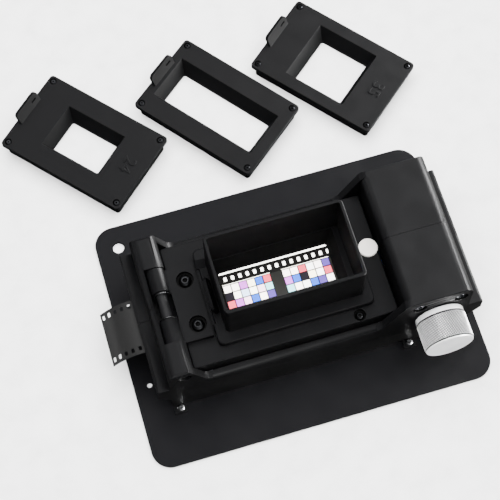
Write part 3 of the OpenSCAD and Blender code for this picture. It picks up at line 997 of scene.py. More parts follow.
@dataclass
class BasePlate:
    """The sheet that everything stands on, with its holes and the light window."""

    low: Point = (-104.0, -82.5, 0.0)
    high: Point = (116.0, 82.5, 2.0)
    corner: float = 12.5
    edge: float = 0.3
    window: Pair = (39.0, 21.5)
    # each hole's place and radius, the last two kinds on both sides of the film
    hang: Point = (-89.5, 67.5, 3.75)
    locate: Point = (-94.0, 28.0, 1.75)
    feet: tuple[Point, ...] = (
        (-79.0, 48.4, 1.0),
        (70.0, 48.4, 1.0),
        (-30.0, 26.5, 1.25),
        (30.0, 26.5, 1.25),
    )

    def build(self) -> None:
        """Makes the plate."""
        top = self.high[2] + 1
        plate = round_box("base_sheet", self.low, self.high, self.corner, steps=14)
        x, y = self.window
        tools = [round_box("tool", (-x, -y, -1), (x, y, top), 2.0)]
        tools += drills([self.hang[:2]], -1, top + 1, self.hang[2], 64)
        for x, y, radius in (self.locate, *self.feet):
            tools += drills(on_both_sides((x, y)), -1, top + 1, radius)
        cut(plate, *tools)
        soften(plate, self.edge, 3)
        hand_over(plate, Body.CARRIER.value, "plate", BLACK_ANODISED, "base_plate")


@dataclass
class Housing:
    """The two moulded halves with the hinge tower, the rails and the roller block."""

    edge: float = 0.35
    bore: float = 4.5
    front: float = -45.7
    block_screw: CapScrew = CapScrew(3.7, 2.8, 1.45, 55.0, 1.7, dome=0.3)
    block_spots: tuple[Pair, ...] = ((73.0, 57.0), (99.0, 57.0))
    foot_screw: CapScrew = CapScrew(2.2, 1.4, 1.0, 3.2, 0.9)
    foot_spots: tuple[Pair, ...] = ((-79.0, 48.4), (70.0, 48.4))
    foot_top: float = 5.2

    def in_shaded_bore(self, middle: Vector, normal: Vector) -> bool:
        """Tells whether a face lies in a counterbore of the roller block, which gets painted shade.
        """
        near = (math.hypot(middle.x - x, middle.z - z) < self.bore for x, z in self.block_spots)
        return middle.y > self.front and any(near)

    def build(self) -> None:
        """Rounds the moulded edges of both halves and adds their screws."""
        for half in ("housing_front", "housing_back"):
            shell = copy_of_node(half.replace("housing", "shell"), half)
            soften(shell, self.edge, 3, 40.0)
            hand_over(shell, Body.CARRIER.value, "housing", HOUSING_ABS, half)
            if half == "housing_front":
                # painted shade in the counterbores of the roller block's screws
                line_with(shell, MATT_BLACK_AND_SHADE, self.in_shaded_bore)
        places = [(*p, self.foot_top) for p in on_both_sides(*self.foot_spots)]
        screws = self.foot_screw.set_of("foot_fixings", places)
        hand_over(screws, Body.CARRIER.value, "bright_screw", ZINC_STEEL, "foot_screws")
        forward = Matrix.Rotation(math.radians(90), 4, "X")
        places = [(x, self.front + 0.3, z) for x, z in self.block_spots]
        screws = self.block_screw.set_of("block_fixings", places, forward)
        hand_over(screws, Body.CARRIER.value, "black_screw", OXIDE_STEEL, "block_screws")


@dataclass
class LightPath:
    """The film bed, the opal sheet and the white tunnel under the film."""

    edge: float = 0.2
    sheet: tuple[Point, Point] = ((-41.0, -22.5, 32.0), (41.0, 22.5, 34.1))
    tunnel_screw: CapScrew = CapScrew(2.4, 1.6, 1.25, 3.6, 1.0)
    tunnel_spots: tuple[Pair, ...] = ((-30.0, 26.5), (30.0, 26.5))
    tunnel_top: float = 5.6
    bed_screw: CapScrew = CapScrew(2.2, 1.4, 1.25, 5.8, 0.9, dome=0.2)
    bed_spots: tuple[Pair, ...] = ((-56.0, 38.4), (52.0, 38.4))
    bed_top: float = 35.0

    def build(self) -> None:
        """Dresses the bed, the tunnel, the sheet and their screws."""
        body = Body.CARRIER.value
        dress_node("bed_with_channel", "film_bed", body, "housing", LID_ABS, self.edge)
        dress_node("tunnel_walls", "light_tunnel", body, "tunnel", TUNNEL_PLASTIC, self.edge)
        sheet = soften(round_box("opal_sheet", *self.sheet, 1.0), 0.15)
        hand_over(sheet, body, "diffuser", OPAL_ACRYLIC, "diffuser")
        places = [(*p, self.tunnel_top) for p in on_both_sides(*self.tunnel_spots)]
        screws = self.tunnel_screw.set_of("tunnel_fixings", places)
        hand_over(screws, body, "bright_screw", ZINC_STEEL, "tunnel_screws")
        places = [(*p, self.bed_top) for p in on_both_sides(*self.bed_spots)]
        screws = self.bed_screw.set_of("bed_fixings", places)
        hand_over(screws, body, "black_screw", OXIDE_STEEL, "bed_screws")


@dataclass
class HingeHardware:
    """The pin, its washers, the keeper of the latch and the fixed parts of the drive."""

    axis: Pair = (-72.8, 53.2)
    pin: float = 3.2
    chamfer: float = 0.6
    ends: Pair = (-44.8, 44.5)
    washer: tuple[Pair, ...] = (
        (3.2, 0.0), (3.2, 0.9), (4.9, 0.9), (5.3, 0.6), (5.3, 0.3), (4.9, 0.0)
    )
    washers: Pair = (-8.6, 7.7)
    edge: float = 0.15

    def build(self) -> None:
        """Turns the pin and the washers and dresses the keeper, the bushes and the axle."""
        x, z = self.axis
        first, last = self.ends
        profile = bar_profile(self.pin, last - first, self.chamfer)
        pin = turn_set("hinge_rod", profile, [(x, first, z)], ALONG_Y)
        hand_over(pin, Body.CARRIER.value, "steel", DARK_STEEL, "hinge_pin")
        feet = [(x, y, z) for y in self.washers]
        washers = turn_set("hinge_rings", self.washer, feet, ALONG_Y, 48)
        hand_over(washers, Body.CARRIER.value, "washer", ZINC_STEEL, "hinge_washers")
        for name, node, slot, finish in (
            ("latch_strip", "latch_keeper", "steel", ZINC_STEEL),
            ("drive_bushes", "shaft_bushes", "bush", BRASS),
            ("idler_axle", "pinch_axle", "steel", GROUND_STEEL),
        ):
            dress_node(name, node, Body.CARRIER.value, slot, finish, self.edge)


@dataclass
class Lid:
    """The swinging lid: plate with flange, hood, hinge leaf, screws and magnets."""

    x: Pair = (-66.0, 62.6)
    half_width: float = 40.0
    # the underside, the top, and the top of the flange
    z: Point = (36.0, 47.0, 51.5)
    # the left and the right end and half the width, then for the well its roof
    flange: Point = (-47.7, 50.4, 31.75)
    well: tuple[float, ...] = (-46.25, 47.85, 30.7, 48.6)
    # where the notch ends, its front and its back, and how far the back slopes
    notch: tuple[float, ...] = (-40.0, -18.0, 20.0, 5.0)
    # place and radius, then the underside and the height; bores have a radius and a depth
    magnet: Point = (57.2, 4.0, 6.0)
    magnet_z: Pair = (43.0, 5.2)
    lid_screw: CapScrew = CapScrew(2.7, 2.0, 1.45, 7.0, 1.25, dome=0.7)
    lid_spot: Pair = (39.0, 36.0)
    lid_bore: Pair = (3.75, 2.6)
    leaf_screw: CapScrew = CapScrew(3.9, 2.5, 1.95, 8.0, 1.7, dome=0.7)
    leaf_spot: Pair = (-56.3, 14.7)
    leaf_bore: Pair = (5.4, 2.8)
    leaf: tuple[Point, Point] = ((-66.5, -24.2, 47.0), (-49.0, 24.2, 51.0))
    # the hinge's X, its height and its hole's radius, then each knuckle's radius and length
    hinge: Point = (-72.8, 53.2, 3.25)
    knuckle: Pair = (5.7, 15.2)
    knuckle_starts: Pair = (-24.2, 9.0)
    # the left and the right end and half the width, then for the hood its rim
    hood: tuple[float, ...] = (-41.3, 45.3, 25.4, 84.0)
    hood_wall: float = 2.0
    hood_corner: float = 3.0
    foot: Point = (-36.0, 40.0, 30.2)
    foot_high: float = 1.4
    foot_screw: CapScrew = CapScrew(2.0, 0.8, 1.0, 1.4, 0.8, dome=0.2)
    foot_spots: tuple[Pair, ...] = ((-28.0, 27.8), (32.0, 27.8))
    disc_spots: tuple[Pair, ...] = ((-42.1, 26.4), (43.7, 26.4))
    disc_radius: float = 1.7
    disc_z: Pair = (48.7, 1.6)

    def build(self) -> None:
        """Makes the plate, the hood, the leaf and the small parts."""
        self.build_plate()
        self.build_hood()
        self.build_leaf()
        self.build_small_parts()

    def build_plate(self) -> None:
        """Models the plate with its flange, the gate's well and the counterbores."""
        base, top, crest = self.z
        left, right, half = self.flange
        y = self.half_width
        plate = round_box("lid_plate", (self.x[0], -y, base), (self.x[1], y, top), 1.5, 0.8)
        rim = round_box("rim", (left, -half, top - 1), (right, half, crest), 4.0, 1.0)
        fuse(plate, rim)
        well_l, well_r, well_y, well_z = self.well
        cut(plate, cuboid("tool", (well_l, -well_y, base - 1), (well_r, well_y, well_z)))
        x0, x1, y, _ = self.hood
        cut(plate, round_box("tool", (x0, -y, well_z - 1), (x1, y, crest + 1), self.hood_corner))
        x0, x1, y = self.foot
        cut(plate, cuboid("tool", (x0, -y, well_z - 1), (x1, y, well_z + self.foot_high)))
        cut(plate, *drills(on_both_sides(*self.disc_spots), well_z - 1, 3, self.disc_radius))
        edge, front, back, slope = self.notch
        rise = [(front, well_z - 1), (back, well_z - 1), (back, well_z), (back + slope, crest)]
        rise += [(back + slope, crest + 1), (front, crest + 1)]
        side = [(left - 1, y, z) for y, z in rise]
        cut(plate, prism("tool", side, (edge - left + 1, 0, 0)))
        x, y, radius = self.magnet
        tools = drills([(x, y)], self.magnet_z[0], 6, radius, 64)
        bore, deep = self.lid_bore
        tools += drills(on_both_sides(self.lid_spot), top - deep, 5, bore, 40)
        for spot, screw in ((self.lid_spot, self.lid_screw), (self.leaf_spot, self.leaf_screw)):
            tools += drills(on_both_sides(spot), base + 1, 12, screw.shank, 24)
        cut(plate, *tools)
        soften(plate, 0.25)
        hand_over(plate, Body.LID.value, "lid", LID_ABS, "lid_frame")
        x, y = self.lid_spot
        # painted shade in the counterbores of the lid's screws
        line_with(plate, MATT_BLACK_AND_SHADE, lambda c, n: within(c, x, y, bore + 0.1) and c.z < top - 0.3)

    def build_hood(self) -> None:
        """Models the hood: a tube with round corners, a soft rim and two feet."""
        x0, x1, y, rim = self.hood
        low, wall, corner = self.well[3], self.hood_wall, self.hood_corner
        hood = round_box("hood_tube", (x0, -y, low), (x1, y, rim), corner, 0.7, 8)
        left, right, half = self.foot
        fuse(hood, cuboid("feet", (left, -half, low), (right, half, low + self.foot_high)))
        inner_low, inner_high = (x0 + wall, wall - y, low - 1), (x1 - wall, y - wall, rim + 1)
        tools = [round_box("tool", inner_low, inner_high, corner - 1.6, steps=8)]
        tools += drills(on_both_sides(*self.foot_spots), low - 1, 4, 1.1, 24)
        tools += drills(on_both_sides(*self.foot_spots), low - 1, 1.8, 2.1)
        tools += drills(on_both_sides(*self.disc_spots), low - 1, 3, self.disc_radius)
        cut(hood, *tools)
        soften(hood, 0.3)
        hand_over(hood, Body.LID.value, "hood", LID_ABS, "light_hood")
        middle, half = ((x0 + x1) / 2, 0.0), ((x1 - x0) / 2 - wall, y - wall)
        line_with(hood, MATT_BLACK_AND_SHADE, lambda c, n: looks_inward(c, n, middle, half))

    def build_leaf(self) -> None:
        """Models the hinge leaf with its two knuckles."""
        x, z, hole = self.hinge
        low, high = self.leaf
        radius, length = self.knuckle
        bore, deep = self.leaf_bore
        leaf = cuboid("leaf", low, high)
        for start in self.knuckle_starts:
            barrel = rod("barrel", (x, start, z), "Y", length, radius)
            web = cuboid("web", (x, start, low[2] + 0.6), (low[0] + 1, start + length, high[2]))
            fuse(leaf, fuse(barrel, web))
        cut(leaf, rod("tool", (x, low[1] - 1.8, z), "Y", 52, hole))
        for spot in on_both_sides(self.leaf_spot):
            cut(leaf, *drills([spot], high[2] - deep, 4, bore, 64))
            cut(leaf, *drills([spot], low[2] - 1, 4, 2.0))
        soften(leaf, 0.35, 3)
        hand_over(leaf, Body.LID.value, "leaf", LID_ABS, "hinge_leaf")
        x, y = self.leaf_spot
        lip = high[2] - 0.3
        # painted shade in the counterbores of the leaf's screws
        line_with(leaf, MATT_BLACK_AND_SHADE, lambda c, n: within(c, x, y, bore + 0.1) and c.z < lip)

    def build_small_parts(self) -> None:
        """Adds the screws and the magnets."""
        for name, node, screw, (x, y), top in (
            ("leaf_fixings", "leaf_screws", self.leaf_screw, self.leaf_spot, 50.7),
            ("lid_fixings", "lid_screws", self.lid_screw, self.lid_spot, 46.4),
        ):
            screws = screw.set_of(name, [(*p, top) for p in on_both_sides((x, y))])
            hand_over(screws, Body.LID.value, "black_screw", GREY_STEEL, node)
            # painted shade in the screws' sockets
            line_with(
                screws,
                MATT_BLACK_AND_SHADE,
                lambda c, n: within(c, x, y, screw.socket) and (n.z < 0.5 or c.z < top - 0.5),
            )
        flip = Matrix.Rotation(math.pi, 4, "X")
        places = [(*p, self.well[3]) for p in on_both_sides(*self.foot_spots)]
        screws = self.foot_screw.set_of("hood_fixings", places, flip)
        hand_over(screws, Body.LID.value, "black_screw", OXIDE_STEEL, "hood_screws")
        x, y, r = self.magnet
        foot, high = self.magnet_z
        profile = [(0.0, 0.0), (r, 0.0), (r, high - 0.4), (r - 0.4, high), (0.0, high)]
        disc = turn_set("latch_disc", profile, [(x, y, foot)], ALONG_Z)
        hand_over(disc, Body.LID.value, "magnet", PLATED_MAGNET, "latch_magnet")
        disc.visible_glossy = False
        r = self.disc_radius
        foot, high = self.disc_z
        profile = [(0.0, 0.0), (r - 0.1, 0.0), (r, 0.1), (r, high), (0.0, high)]
        feet = [(*p, foot) for p in on_both_sides(*self.disc_spots)]
        discs = turn_set("gate_discs", profile, feet, ALONG_Z, 32)
        hand_over(discs, Body.LID.value, "magnet", PLATED_MAGNET, "gate_magnets")


@dataclass
class Gate:
    """One drop-in gate: mask with brim, tapered window and lift tab, lower plate, screws."""

    key: str
    body: str
    nodes: tuple[str, str, str]
    window: Pair
    at: Point
    turn: float = 0.0
    mark: str = ""
    # whether the window's walls get painted shade
    shaded_window: bool = False
    length: float = 93.5
    width: float = 60.8
    height: float = 13.0
    brim: float = 2.25
    brim_z: float = 10.0
    sill_z: float = 2.5
    taper: float = 4.4
    shift: float = -0.8
    corner: Pair = (42.9, 26.4)
    bore: float = 2.4
    hole: float = 1.05
    screw: CapScrew = CapScrew(2.05, 0.9, 1.0, 10.6, 0.85, dome=0.7, sunk=1.7)
    # half the tab's width, its height, half its thickness, its shoulders' radius and its lean
    tab: tuple[float, ...] = (11.0, 9.0, 1.1, 3.0, 3.2)
    tab_x: float = -43.5
    # the number's distance from the middle, its height, how far it is raised and its round
    letter: tuple[float, ...] = (34.0, 11.6, 0.4, 0.15)

    def build(self) -> None:
        """Makes the three pieces and sets them in place."""
        pieces = (
            (self.make_mask(), "gate", GATE_ABS),
            (self.make_sill(), "gate", GATE_ABS),
            (self.make_screws(), "black_screw", NEW_OXIDE_STEEL),
        )
        for (piece, slot, finish), node in zip(pieces, self.nodes):
            take(piece)
            piece.rotation_euler = (0.0, 0.0, math.radians(self.turn))
            piece.location = self.at
            bpy.ops.object.transform_apply(location=True, rotation=True, scale=True)
            hand_over(piece, self.body, slot, finish, node)
            # painted shade in the counterbores and in the screws' sockets
            line_with(piece, MATT_BLACK_AND_SHADE, self.in_shaded_bore if slot == "gate" else self.in_shaded_socket)
            # on the fitted gate, painted shade on the window's walls
            if self.shaded_window and slot == "gate":
                middle = (self.at[0] + self.shift, self.at[1])
                half = tuple(side / 2 + self.taper for side in self.window)
                line_with(piece, MATT_BLACK_AND_SHADE, lambda c, n: looks_inward(c, n, middle, half, -0.1))

    def corners(self) -> list[Pair]:
        """Where the four corner screws are."""
        x, y = self.corner
        return on_both_sides((-x, y), (x, y))

    def from_screw(self, point: Vector) -> float:
        """Distance of a point from the axis of the nearest corner screw."""
        local = Matrix.Rotation(math.radians(-self.turn), 3, "Z") @ (point - Vector(self.at))
        return math.hypot(abs(local.x) - self.corner[0], abs(local.y) - self.corner[1])

    def in_shaded_bore(self, middle: Vector, normal: Vector) -> bool:
        """Tells whether a face lies in a counterbore, which gets painted shade."""
        near = self.from_screw(middle) < self.bore + 0.05
        return near and middle.z < self.at[2] + self.height - 0.1

    def in_shaded_socket(self, middle: Vector, normal: Vector) -> bool:
        """Tells whether a face lies in a screw's socket, which gets painted shade."""
        deep = normal.z < 0.5 or middle.z < self.at[2] + self.height - 0.6
        return self.from_screw(middle) < self.screw.socket and deep

    def frustum(self) -> Obj:
        """Makes the tool of the tapered window.

        Returns:
            The tool, at the origin.
        """
        long, wide = self.window
        x, low, high = self.shift, self.sill_z - 0.5, self.height + 0.5
        tool = cuboid("tool", (x - long / 2, -wide / 2, low), (x + long / 2, wide / 2, high))
        rise = (high - self.sill_z) / (self.height - self.sill_z) * self.taper
        pick_edges(tool, lambda a, b: min(a.z, b.z) > high - 1e-3)
        scale = (1 + 2 * rise / long, 1 + 2 * rise / wide, 1.0)
        bpy.ops.transform.resize(value=scale, center_override=(x, 0.0, high))
        bpy.ops.object.mode_set(mode="OBJECT")
        return tool

    def make_mask(self) -> Obj:
        """Models the upper piece.

        Returns:
            The mask, at the origin.
        """
        x, y = self.length / 2, self.width / 2
        bx, by = x - self.brim, y - self.brim
        name = f"{self.key}_mask_body"
        mask = round_box(name, (-x, -y, self.brim_z), (x, y, self.height), 2.5, 0.35)
        core = round_box("core", (-bx, -by, self.sill_z), (bx, by, self.brim_z + 1), 2.0)
        fuse(mask, core)
        cut(mask, self.frustum())
        for spot in self.corners():
            cut(mask, *drills([spot], self.height - 1, 2, self.bore))
            cut(mask, *drills([spot], 0.0, self.height, self.hole, 20))
        fuse(mask, self.make_tab())
        soften(mask, 0.3)
        if self.mark:
            mask = gather(mask.name, [mask, self.make_mark()])
        return mask

    def make_tab(self) -> Obj:
        """Models the leaning lift tab with its round shoulders and its small slot.

        Returns:
            The tab, in its place on a gate at the origin.
        """
        half, tall, thick, shoulder, lean = self.tab
        outline = [(-half, -0.6), (half, -0.6)]
        outline += arc(half - shoulder, tall - shoulder, shoulder, 0, 90)
        outline += arc(shoulder - half, tall - shoulder, shoulder, 90, 180)
        tab = prism("tab", [(-thick, y, z) for y, z in outline], (2 * thick, 0, 0))
        cut(tab, cuboid("tool", (-0.1, half - 7.0, 3.9), (3.0, half - 2.5, 5.6)))
        take(tab)
        tab.rotation_euler = (0.0, -math.atan2(lean, tall), 0.0)
        tab.location = (self.tab_x, 0.0, self.height - 0.2)
        bpy.ops.object.transform_apply(location=True, rotation=True, scale=True)
        return tab

    def make_mark(self) -> Obj:
        """Models the raised number beside the window.

        Returns:
            The number, in its place on a gate at the origin.
        """
        clear_selection()
        x, size, raised, bevel = self.letter
        bpy.ops.object.text_add(location=(x, 0.0, self.height - 0.05))
        text = bpy.context.object
        text.data.body = self.mark
        text.data.size = size
        text.data.align_x = text.data.align_y = "CENTER"
        text.data.extrude = raised
        text.data.bevel_depth = bevel
        text.rotation_euler = (0.0, 0.0, math.radians(-90))
        bpy.ops.object.convert(target="MESH")
        return settle("mark")

    def make_sill(self) -> Obj:
        """Models the lower plate.

        Returns:
            The plate, at the origin.
        """
        bx, by = self.length / 2 - self.brim, self.width / 2 - self.brim
        long, wide = self.window
        sill = round_box(f"{self.key}_sill_plate", (-bx, -by, 0.0), (bx, by, self.sill_z), 2.0)
        low = (self.shift - long / 2, -wide / 2, -1.0)
        high = (self.shift + long / 2, wide / 2, self.sill_z + 1)
        cut(sill, round_box("tool", low, high, 1.4))
        cut(sill, *drills(self.corners(), 1, 3, self.hole, 20))
        return soften(sill, 0.2)

    def make_screws(self) -> Obj:
        """Models the four corner screws, on a gate at the origin."""
        places = [(*p, self.height - 0.1) for p in self.corners()]
        return self.screw.set_of(f"{self.key}_corner_fixings", places)


@dataclass
class Winder:
    """The knurled knob, its shaft and the rubber tyres that pull the film.

    The grip has `teeth` diamonds round it and `rows` of them along it, `knurl` deep.
    """

    x: float = 86.0
    z: float = 40.0
    radius: float = 15.4
    length: float = 21.5
    back: float = -46.8
    shaft: Pair = (-60.8, 46.5)
    shaft_radius: float = 3.0
    tyre: tuple[Pair, ...] = (
        (3.0, 0.0), (3.0, 5.2), (4.9, 5.2), (5.3, 4.8), (5.3, 0.4), (4.9, 0.0)
    )
    tyres: Pair = (-17.2, 12.0)
    grub_back: float = 1.7
    grub_radius: float = 1.1
    teeth: int = 76
    rows: int = 12
    knurl: float = 0.55

    def build(self) -> None:
        """Makes the knob and the parts on its shaft."""
        self.build_knob()
        front, back = self.shaft
        shaft = bar_profile(self.shaft_radius, back - front, 0.4)
        bar = turn_set("drive_bar", shaft, [(self.x, front, self.z)], ALONG_Y)
        hand_over(bar, Body.WINDER.value, "steel", GROUND_STEEL, "drive_shaft")
        feet = [(self.x, y, self.z) for y in self.tyres]
        tyres = turn_set("drive_rings", self.tyre, feet, ALONG_Y)
        hand_over(tyres, Body.WINDER.value, "tyre", RUBBER, "drive_tyres")
        body = Body.WINDER.value
        dress_node("stop_collar", "shaft_collar", body, "steel", GROUND_STEEL, 0.25)
        y, low = self.back - self.grub_back, self.z - self.radius + 1.6
        grub = rod("grub", (self.x, y, low), "Z", self.radius - 4.6, self.grub_radius, 32)
        cut(grub, rod("tool", (self.x, y, low - 1), "Z", 2.5, 0.55, 6))
        hand_over(soften(grub, 0.1), Body.WINDER.value, "black_screw", OXIDE_STEEL, "knob_screw")

    def build_knob(self) -> None:
        """Turns the knob, rolls the diamond knurl on its grip and drills it."""
        r, length = self.radius, self.length
        grip = (4.4, length - 1.6)
        core = [(0.0, 0.0), (r - 1.3, 0.0), (r - 0.9, 0.12), (r - 0.45, 0.5), (r - 0.3, 0.9)]
        core += [(r - 0.3, 3.3), (r - 0.5, 3.5), (r - 0.8, 3.6), (r - 0.9, 3.9), (r - 0.8, 4.2)]
        core += [(r - self.knurl, 4.35), (r - self.knurl, grip[1] + 0.05)]
        core += [(r - 0.8, grip[1] + 0.15), (r - 0.85, grip[1] + 0.35), (r - 0.7, grip[1] + 0.5)]
        core += [(r - 1.3 + p, length - 0.9 + q) for p, q in arc(0, 0, 0.9, 0, 90, 6)]
        core += [(0.0, length)]
        foot = (self.x, self.back, self.z)
        knob = lathe("knob_grip", core, foot, FORWARD, 96)
        cut(knob, rod("tool", (self.x, self.back - 14, self.z), "Y", 15, self.shaft_radius))
        spot = (self.x, self.back - self.grub_back)
        cut(knob, *drills([spot], self.z - 16.5, 16.5, self.grub_radius))
        knob = gather("knob_grip", [smooth(knob, 30.0), self.roll_knurl(foot, grip)])
        hand_over(knob, Body.WINDER.value, "knob", KNOB_ALUMINIUM, "knob")

    def roll_knurl(self, foot: Point, span: Pair) -> Obj:
        """Makes the knurl: a band of diamonds, each drawn up to a point.

        Args:
            foot: the centre of the knob's back face.
            span: where the band starts and ends, forward of the foot.

        Returns:
            The band, closed onto the knob's core at both ends.
        """
        low = self.radius - self.knurl
        step = (span[1] - span[0]) / self.rows
        rings = [(low, span[0] + i * step) for i in range(self.rows + 1)]
        band = lathe("band", rings, foot, FORWARD, self.teeth, hoop=False)
        with edit(band, "FACE"):
            bpy.ops.mesh.poke()
        # the square grid goes and leaves the diagonals between the poked centres
        around = math.tau * low / self.teeth

        def is_grid(a: Vector, b: Vector) -> bool:
            """Tells the sides of the squares from their diagonals.

            Args:
                a: one end of an edge.
                b: its other end.

            Returns:
                Whether it is a side, and not one at the band's ends.
            """
            inner = all(span[0] + 0.2 < foot[1] - p.y < span[1] - 0.2 for p in (a, b))
            along = abs(abs(a.y - b.y) - step) < 0.05 and (a - b).length < step * 1.02
            across = abs(a.y - b.y) < 1e-3 and abs((a - b).length - around) < 0.05
            return along or (across and inner)

        pick_edges(band, is_grid)
        bpy.ops.mesh.dissolve_edges(use_verts=False)
        with edit(band, "FACE"):
            bpy.ops.mesh.poke(offset=self.knurl)
            bpy.ops.mesh.select_all(action="SELECT")
            bpy.ops.mesh.normals_make_consistent(inside=False)
        return band


@dataclass
class Pinch:
    """The free roller that presses the film up against the tyres."""

    def build(self) -> None:
        """Dresses the roller and its tyres."""
        for name, node, slot, finish in (
            ("idler_roller", "pinch_roller", "roller", ACETAL),
            ("idler_rings", "pinch_tyres", "tyre", RUBBER),
        ):
            dress_node(name, node, Body.PINCH.value, slot, finish, 0.2)


@dataclass
class FilmStrip:
    """The strip of film, with round-cornered perforations and a curled free end."""

    flat: Pair = (-93.0, 112.0)
    half_width: float = 17.5
    z: float = 34.5
    thick: float = 0.15
    reach: float = 19.0
    drop: float = 10.0
    pitch: float = 4.75
    perf_x: float = 1.7
    perf_y: float = 14.0
    perf: Pair = (0.99, 1.4)
    perf_round: float = 0.5
    blank: float = 2.5
    tail_steps: int = 24

    def curl(self, s: float) -> Pair:
        """Height and reach of a point that lies s along the curl.

        Args:
            s: the distance along the film beyond its flat part.

        Returns:
            The reach along X and the drop along Z.
        """
        x, small = 0.0, 0.02
        for _ in range(int(s / small)):
            slope = 2 * self.drop * x / self.reach**2
            x += small / math.hypot(1.0, slope)
        return x, self.drop * (x / self.reach) ** 2

    def tail_length(self) -> float:
        """Length of the film in the curl."""
        xs = [self.reach * i / 200 for i in range(201)]
        return sum(
            math.hypot(b - a, self.drop * (b * b - a * a) / self.reach**2)
            for a, b in zip(xs, xs[1:])
        )

    def build(self) -> None:
        """Punches the strip flat and then lets its end curl down."""
        tail = self.tail_length()
        low = (self.flat[0] - tail, -self.half_width, self.z - self.thick / 2)
        high = (self.flat[1], self.half_width, self.z + self.thick / 2)
        strip = cuboid("film_ribbon", low, high)
        first = math.ceil((low[0] + self.blank - self.perf_x) / self.pitch)
        last = math.floor((high[0] - self.blank - self.perf_x) / self.pitch)
        x, y = self.perf
        below, above = (-x, -y, self.z - 1), (x, y, self.z + 1)
        punch = round_box("punch", below, above, self.perf_round, steps=3)
        rows = [(self.perf_x + i * self.pitch, self.perf_y) for i in range(first, last + 1)]
        punches = [twin(punch, (*p, 0.0)) for p in on_both_sides(*rows)]
        bpy.data.objects.remove(punch)
        cut(strip, gather("punches", punches))
        with edit(strip):
            for i in range(self.tail_steps + 1):
                bpy.ops.mesh.select_all(action="SELECT")
                x = self.flat[0] - tail * i / self.tail_steps
                bpy.ops.mesh.bisect(plane_co=(x, 0.0, 0.0), plane_no=(1.0, 0.0, 0.0))
        for vertex in strip.data.vertices:
            if vertex.co.x < self.flat[0]:
                x, z = self.curl(self.flat[0] - vertex.co.x)
                vertex.co.x = self.flat[0] - x
                vertex.co.z -= z
        smooth(strip, 20.0)
        hand_over(strip, Body.FILM.value, "film", SLIDE_FILM, "film_strip")


# ---------------------------------------------------------------- studio


@dataclass
class Camera:
    """A long lens high over the table. Angles in degrees, lengths in millimetres."""

    azimuth: float = -14.329
    elevation: float = 67.935
    roll: float = -2.272
    target: Point = (-7.781, 42.086, 0.0)
    distance: float = 925.258
    focal_px: float = 1422.627
    image_px: float = 500.0
    sensor: float = 36.0

    def build(self) -> None:
        """Sets the camera and makes it the scene's own."""
        a, e, r = (math.radians(v) for v in (self.azimuth, self.elevation, self.roll))
        back = Vector((math.sin(a) * math.cos(e), -math.cos(a) * math.cos(e), math.sin(e)))
        right = Vector((math.cos(a), math.sin(a), 0.0))
        up = back.cross(right)
        turned = math.cos(r) * right + math.sin(r) * up
        upright = -math.sin(r) * right + math.cos(r) * up
        clear_selection()
        bpy.ops.object.camera_add()
        camera = bpy.context.object
        camera.name = "camera"
        place = (Vector(self.target) + back * self.distance) * MM
        turn = Matrix((turned, upright, back)).transposed().to_4x4()
        camera.matrix_world = Matrix.Translation(place) @ turn
        camera.data.sensor_width = self.sensor
        camera.data.sensor_fit = "HORIZONTAL"
        camera.data.lens = self.focal_px / self.image_px * self.sensor
        camera.data.clip_start = 0.01
        camera.data.clip_end = 20.0
        bpy.context.scene.camera = camera


@dataclass(frozen=True)
class Lamp:
    """A square soft lamp that looks at a point. Lengths in metres, power in watts.

    If it is `mirrored`, glossy surfaces show it and matt ones don't, and otherwise the reverse.
    """

    name: str
    place: Point
    aim: Point
    size: float
    power: float
    mirrored: bool = True

    def build(self) -> None:
        """Hangs the lamp and aims it."""
        clear_selection()
        way = Vector(self.aim) - Vector(self.place)
        turn = way.to_track_quat("-Z", "Y").to_euler()
        bpy.ops.object.light_add(type="AREA", location=self.place, rotation=turn)
        lamp = bpy.context.object
        lamp.name = self.name
        lamp.visible_glossy = self.mirrored
        lamp.visible_diffuse = not self.mirrored
        lamp.data.shape = "SQUARE"
        lamp.data.size = self.size
        lamp.data.energy = self.power


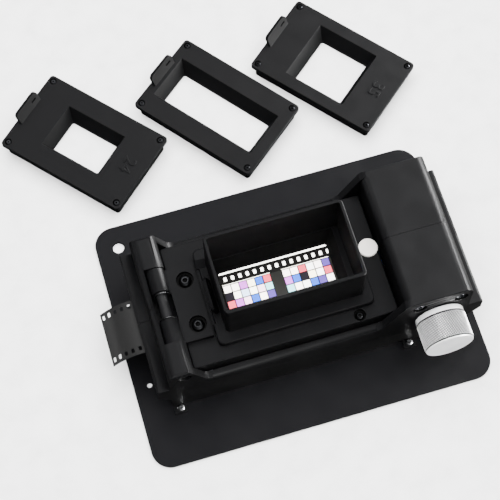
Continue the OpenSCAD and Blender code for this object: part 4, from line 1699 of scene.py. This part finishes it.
@dataclass
class Studio:
    """A pale floor under soft overhead light, with soft lamps on the right, behind and left.

    The surround is bright where it faces `key` and dark opposite, so that dark walls stay dark.
    """

    floor_size: float = 6.0
    floor_z: float = -0.0002
    key: Point = (0.85, -0.1, 0.35)
    turn: Pair = (-0.3, 0.6)
    world: Pair = (0.03, 0.43)
    lamps: tuple[Lamp, ...] = (
        Lamp("overhead", (0.1, 0.2, 1.6), (0.0, 0.05, 0.0), 2.4, 200.0, mirrored=False),
        Lamp("side", (0.62, 0.28, 0.18), (0.05, 0.0, 0.05), 0.4, 14.0),
        Lamp("front", (0.70, -0.38, 0.22), (0.0, -0.02, 0.04), 0.4, 28.0),
        Lamp("back", (-0.14, 1.0, 1.6), (0.0, 0.1, 0.0), 0.5, 2.0),
        Lamp("rim", (-0.75, 0.30, 0.12), (0.0, 0.0, 0.05), 0.25, 0.4),
    )

    def build(self) -> None:
        """Sets the floor, the surround and the lamps."""
        clear_selection()
        bpy.ops.mesh.primitive_plane_add(size=self.floor_size, location=(0, 0, self.floor_z))
        floor = settle("floor")
        finish = Finish("painted_floor", "#fcfcfc", 0.85, specular=0.0, grain=4.0, grain_depth=0.02)
        floor.data.materials.append(finish.material())
        floor.visible_glossy = False
        world = bpy.data.worlds.new("surround")
        world.use_nodes = True
        tree = world.node_tree
        ground = tree.nodes["Background"]
        ground.inputs["Color"].default_value = linear("#ffffff")
        way = add_node(tree, "TexCoord", {}).outputs["Generated"]
        facing = add_node(tree, "VectorMath", {0: way, 1: self.key}, operation="DOT_PRODUCT")
        spread = {"Value": facing.outputs["Value"]}
        spread |= {"From Min": self.turn[0], "From Max": self.turn[1]}
        spread |= {"To Min": self.world[0], "To Max": self.world[1]}
        strength = add_node(tree, "MapRange", spread, interpolation_type="SMOOTHSTEP")
        tree.links.new(strength.outputs["Result"], ground.inputs["Strength"])
        bpy.context.scene.world = world
        for lamp in self.lamps:
            lamp.build()


FITTED = Gate(
    "fitted",
    Body.LID.value,
    ("gate_mask", "gate_sill", "gate_screws"),
    (70.0, 36.4),
    (0.8, 0.0, 35.5),
    shaded_window=True,
)
SPARES = (
    ("a", (36.0, 24.0), (-92.2, 143.5, 0.0), -47.8, "24"),
    ("b", (70.0, 24.0), (-0.9, 143.3, 0.0), -50.8, ""),
    ("c", (36.0, 35.0), (82.4, 150.4, 0.0), -49.6, "35"),
)


def main() -> None:
    """Builds the camera and the studio, then every sub-assembly in turn."""
    logging.basicConfig(level=logging.INFO, format="%(name)s: %(message)s")
    Camera().build()
    Studio().build()
    gates = [FITTED]
    for key, window, at, turn, mark in SPARES:
        nodes = tuple(f"spare_{key}_{part}" for part in ("mask", "sill", "screws"))
        gates.append(Gate(f"spare_{key}", f"spare_{key}", nodes, window, at, turn, mark))
    parts = [BasePlate(), Housing(), LightPath(), HingeHardware(), Lid(), Winder(), Pinch()]
    for part in [*parts, FilmStrip(), *gates]:
        part.build()
    clear_selection()


if __name__ == "__main__":
    main()
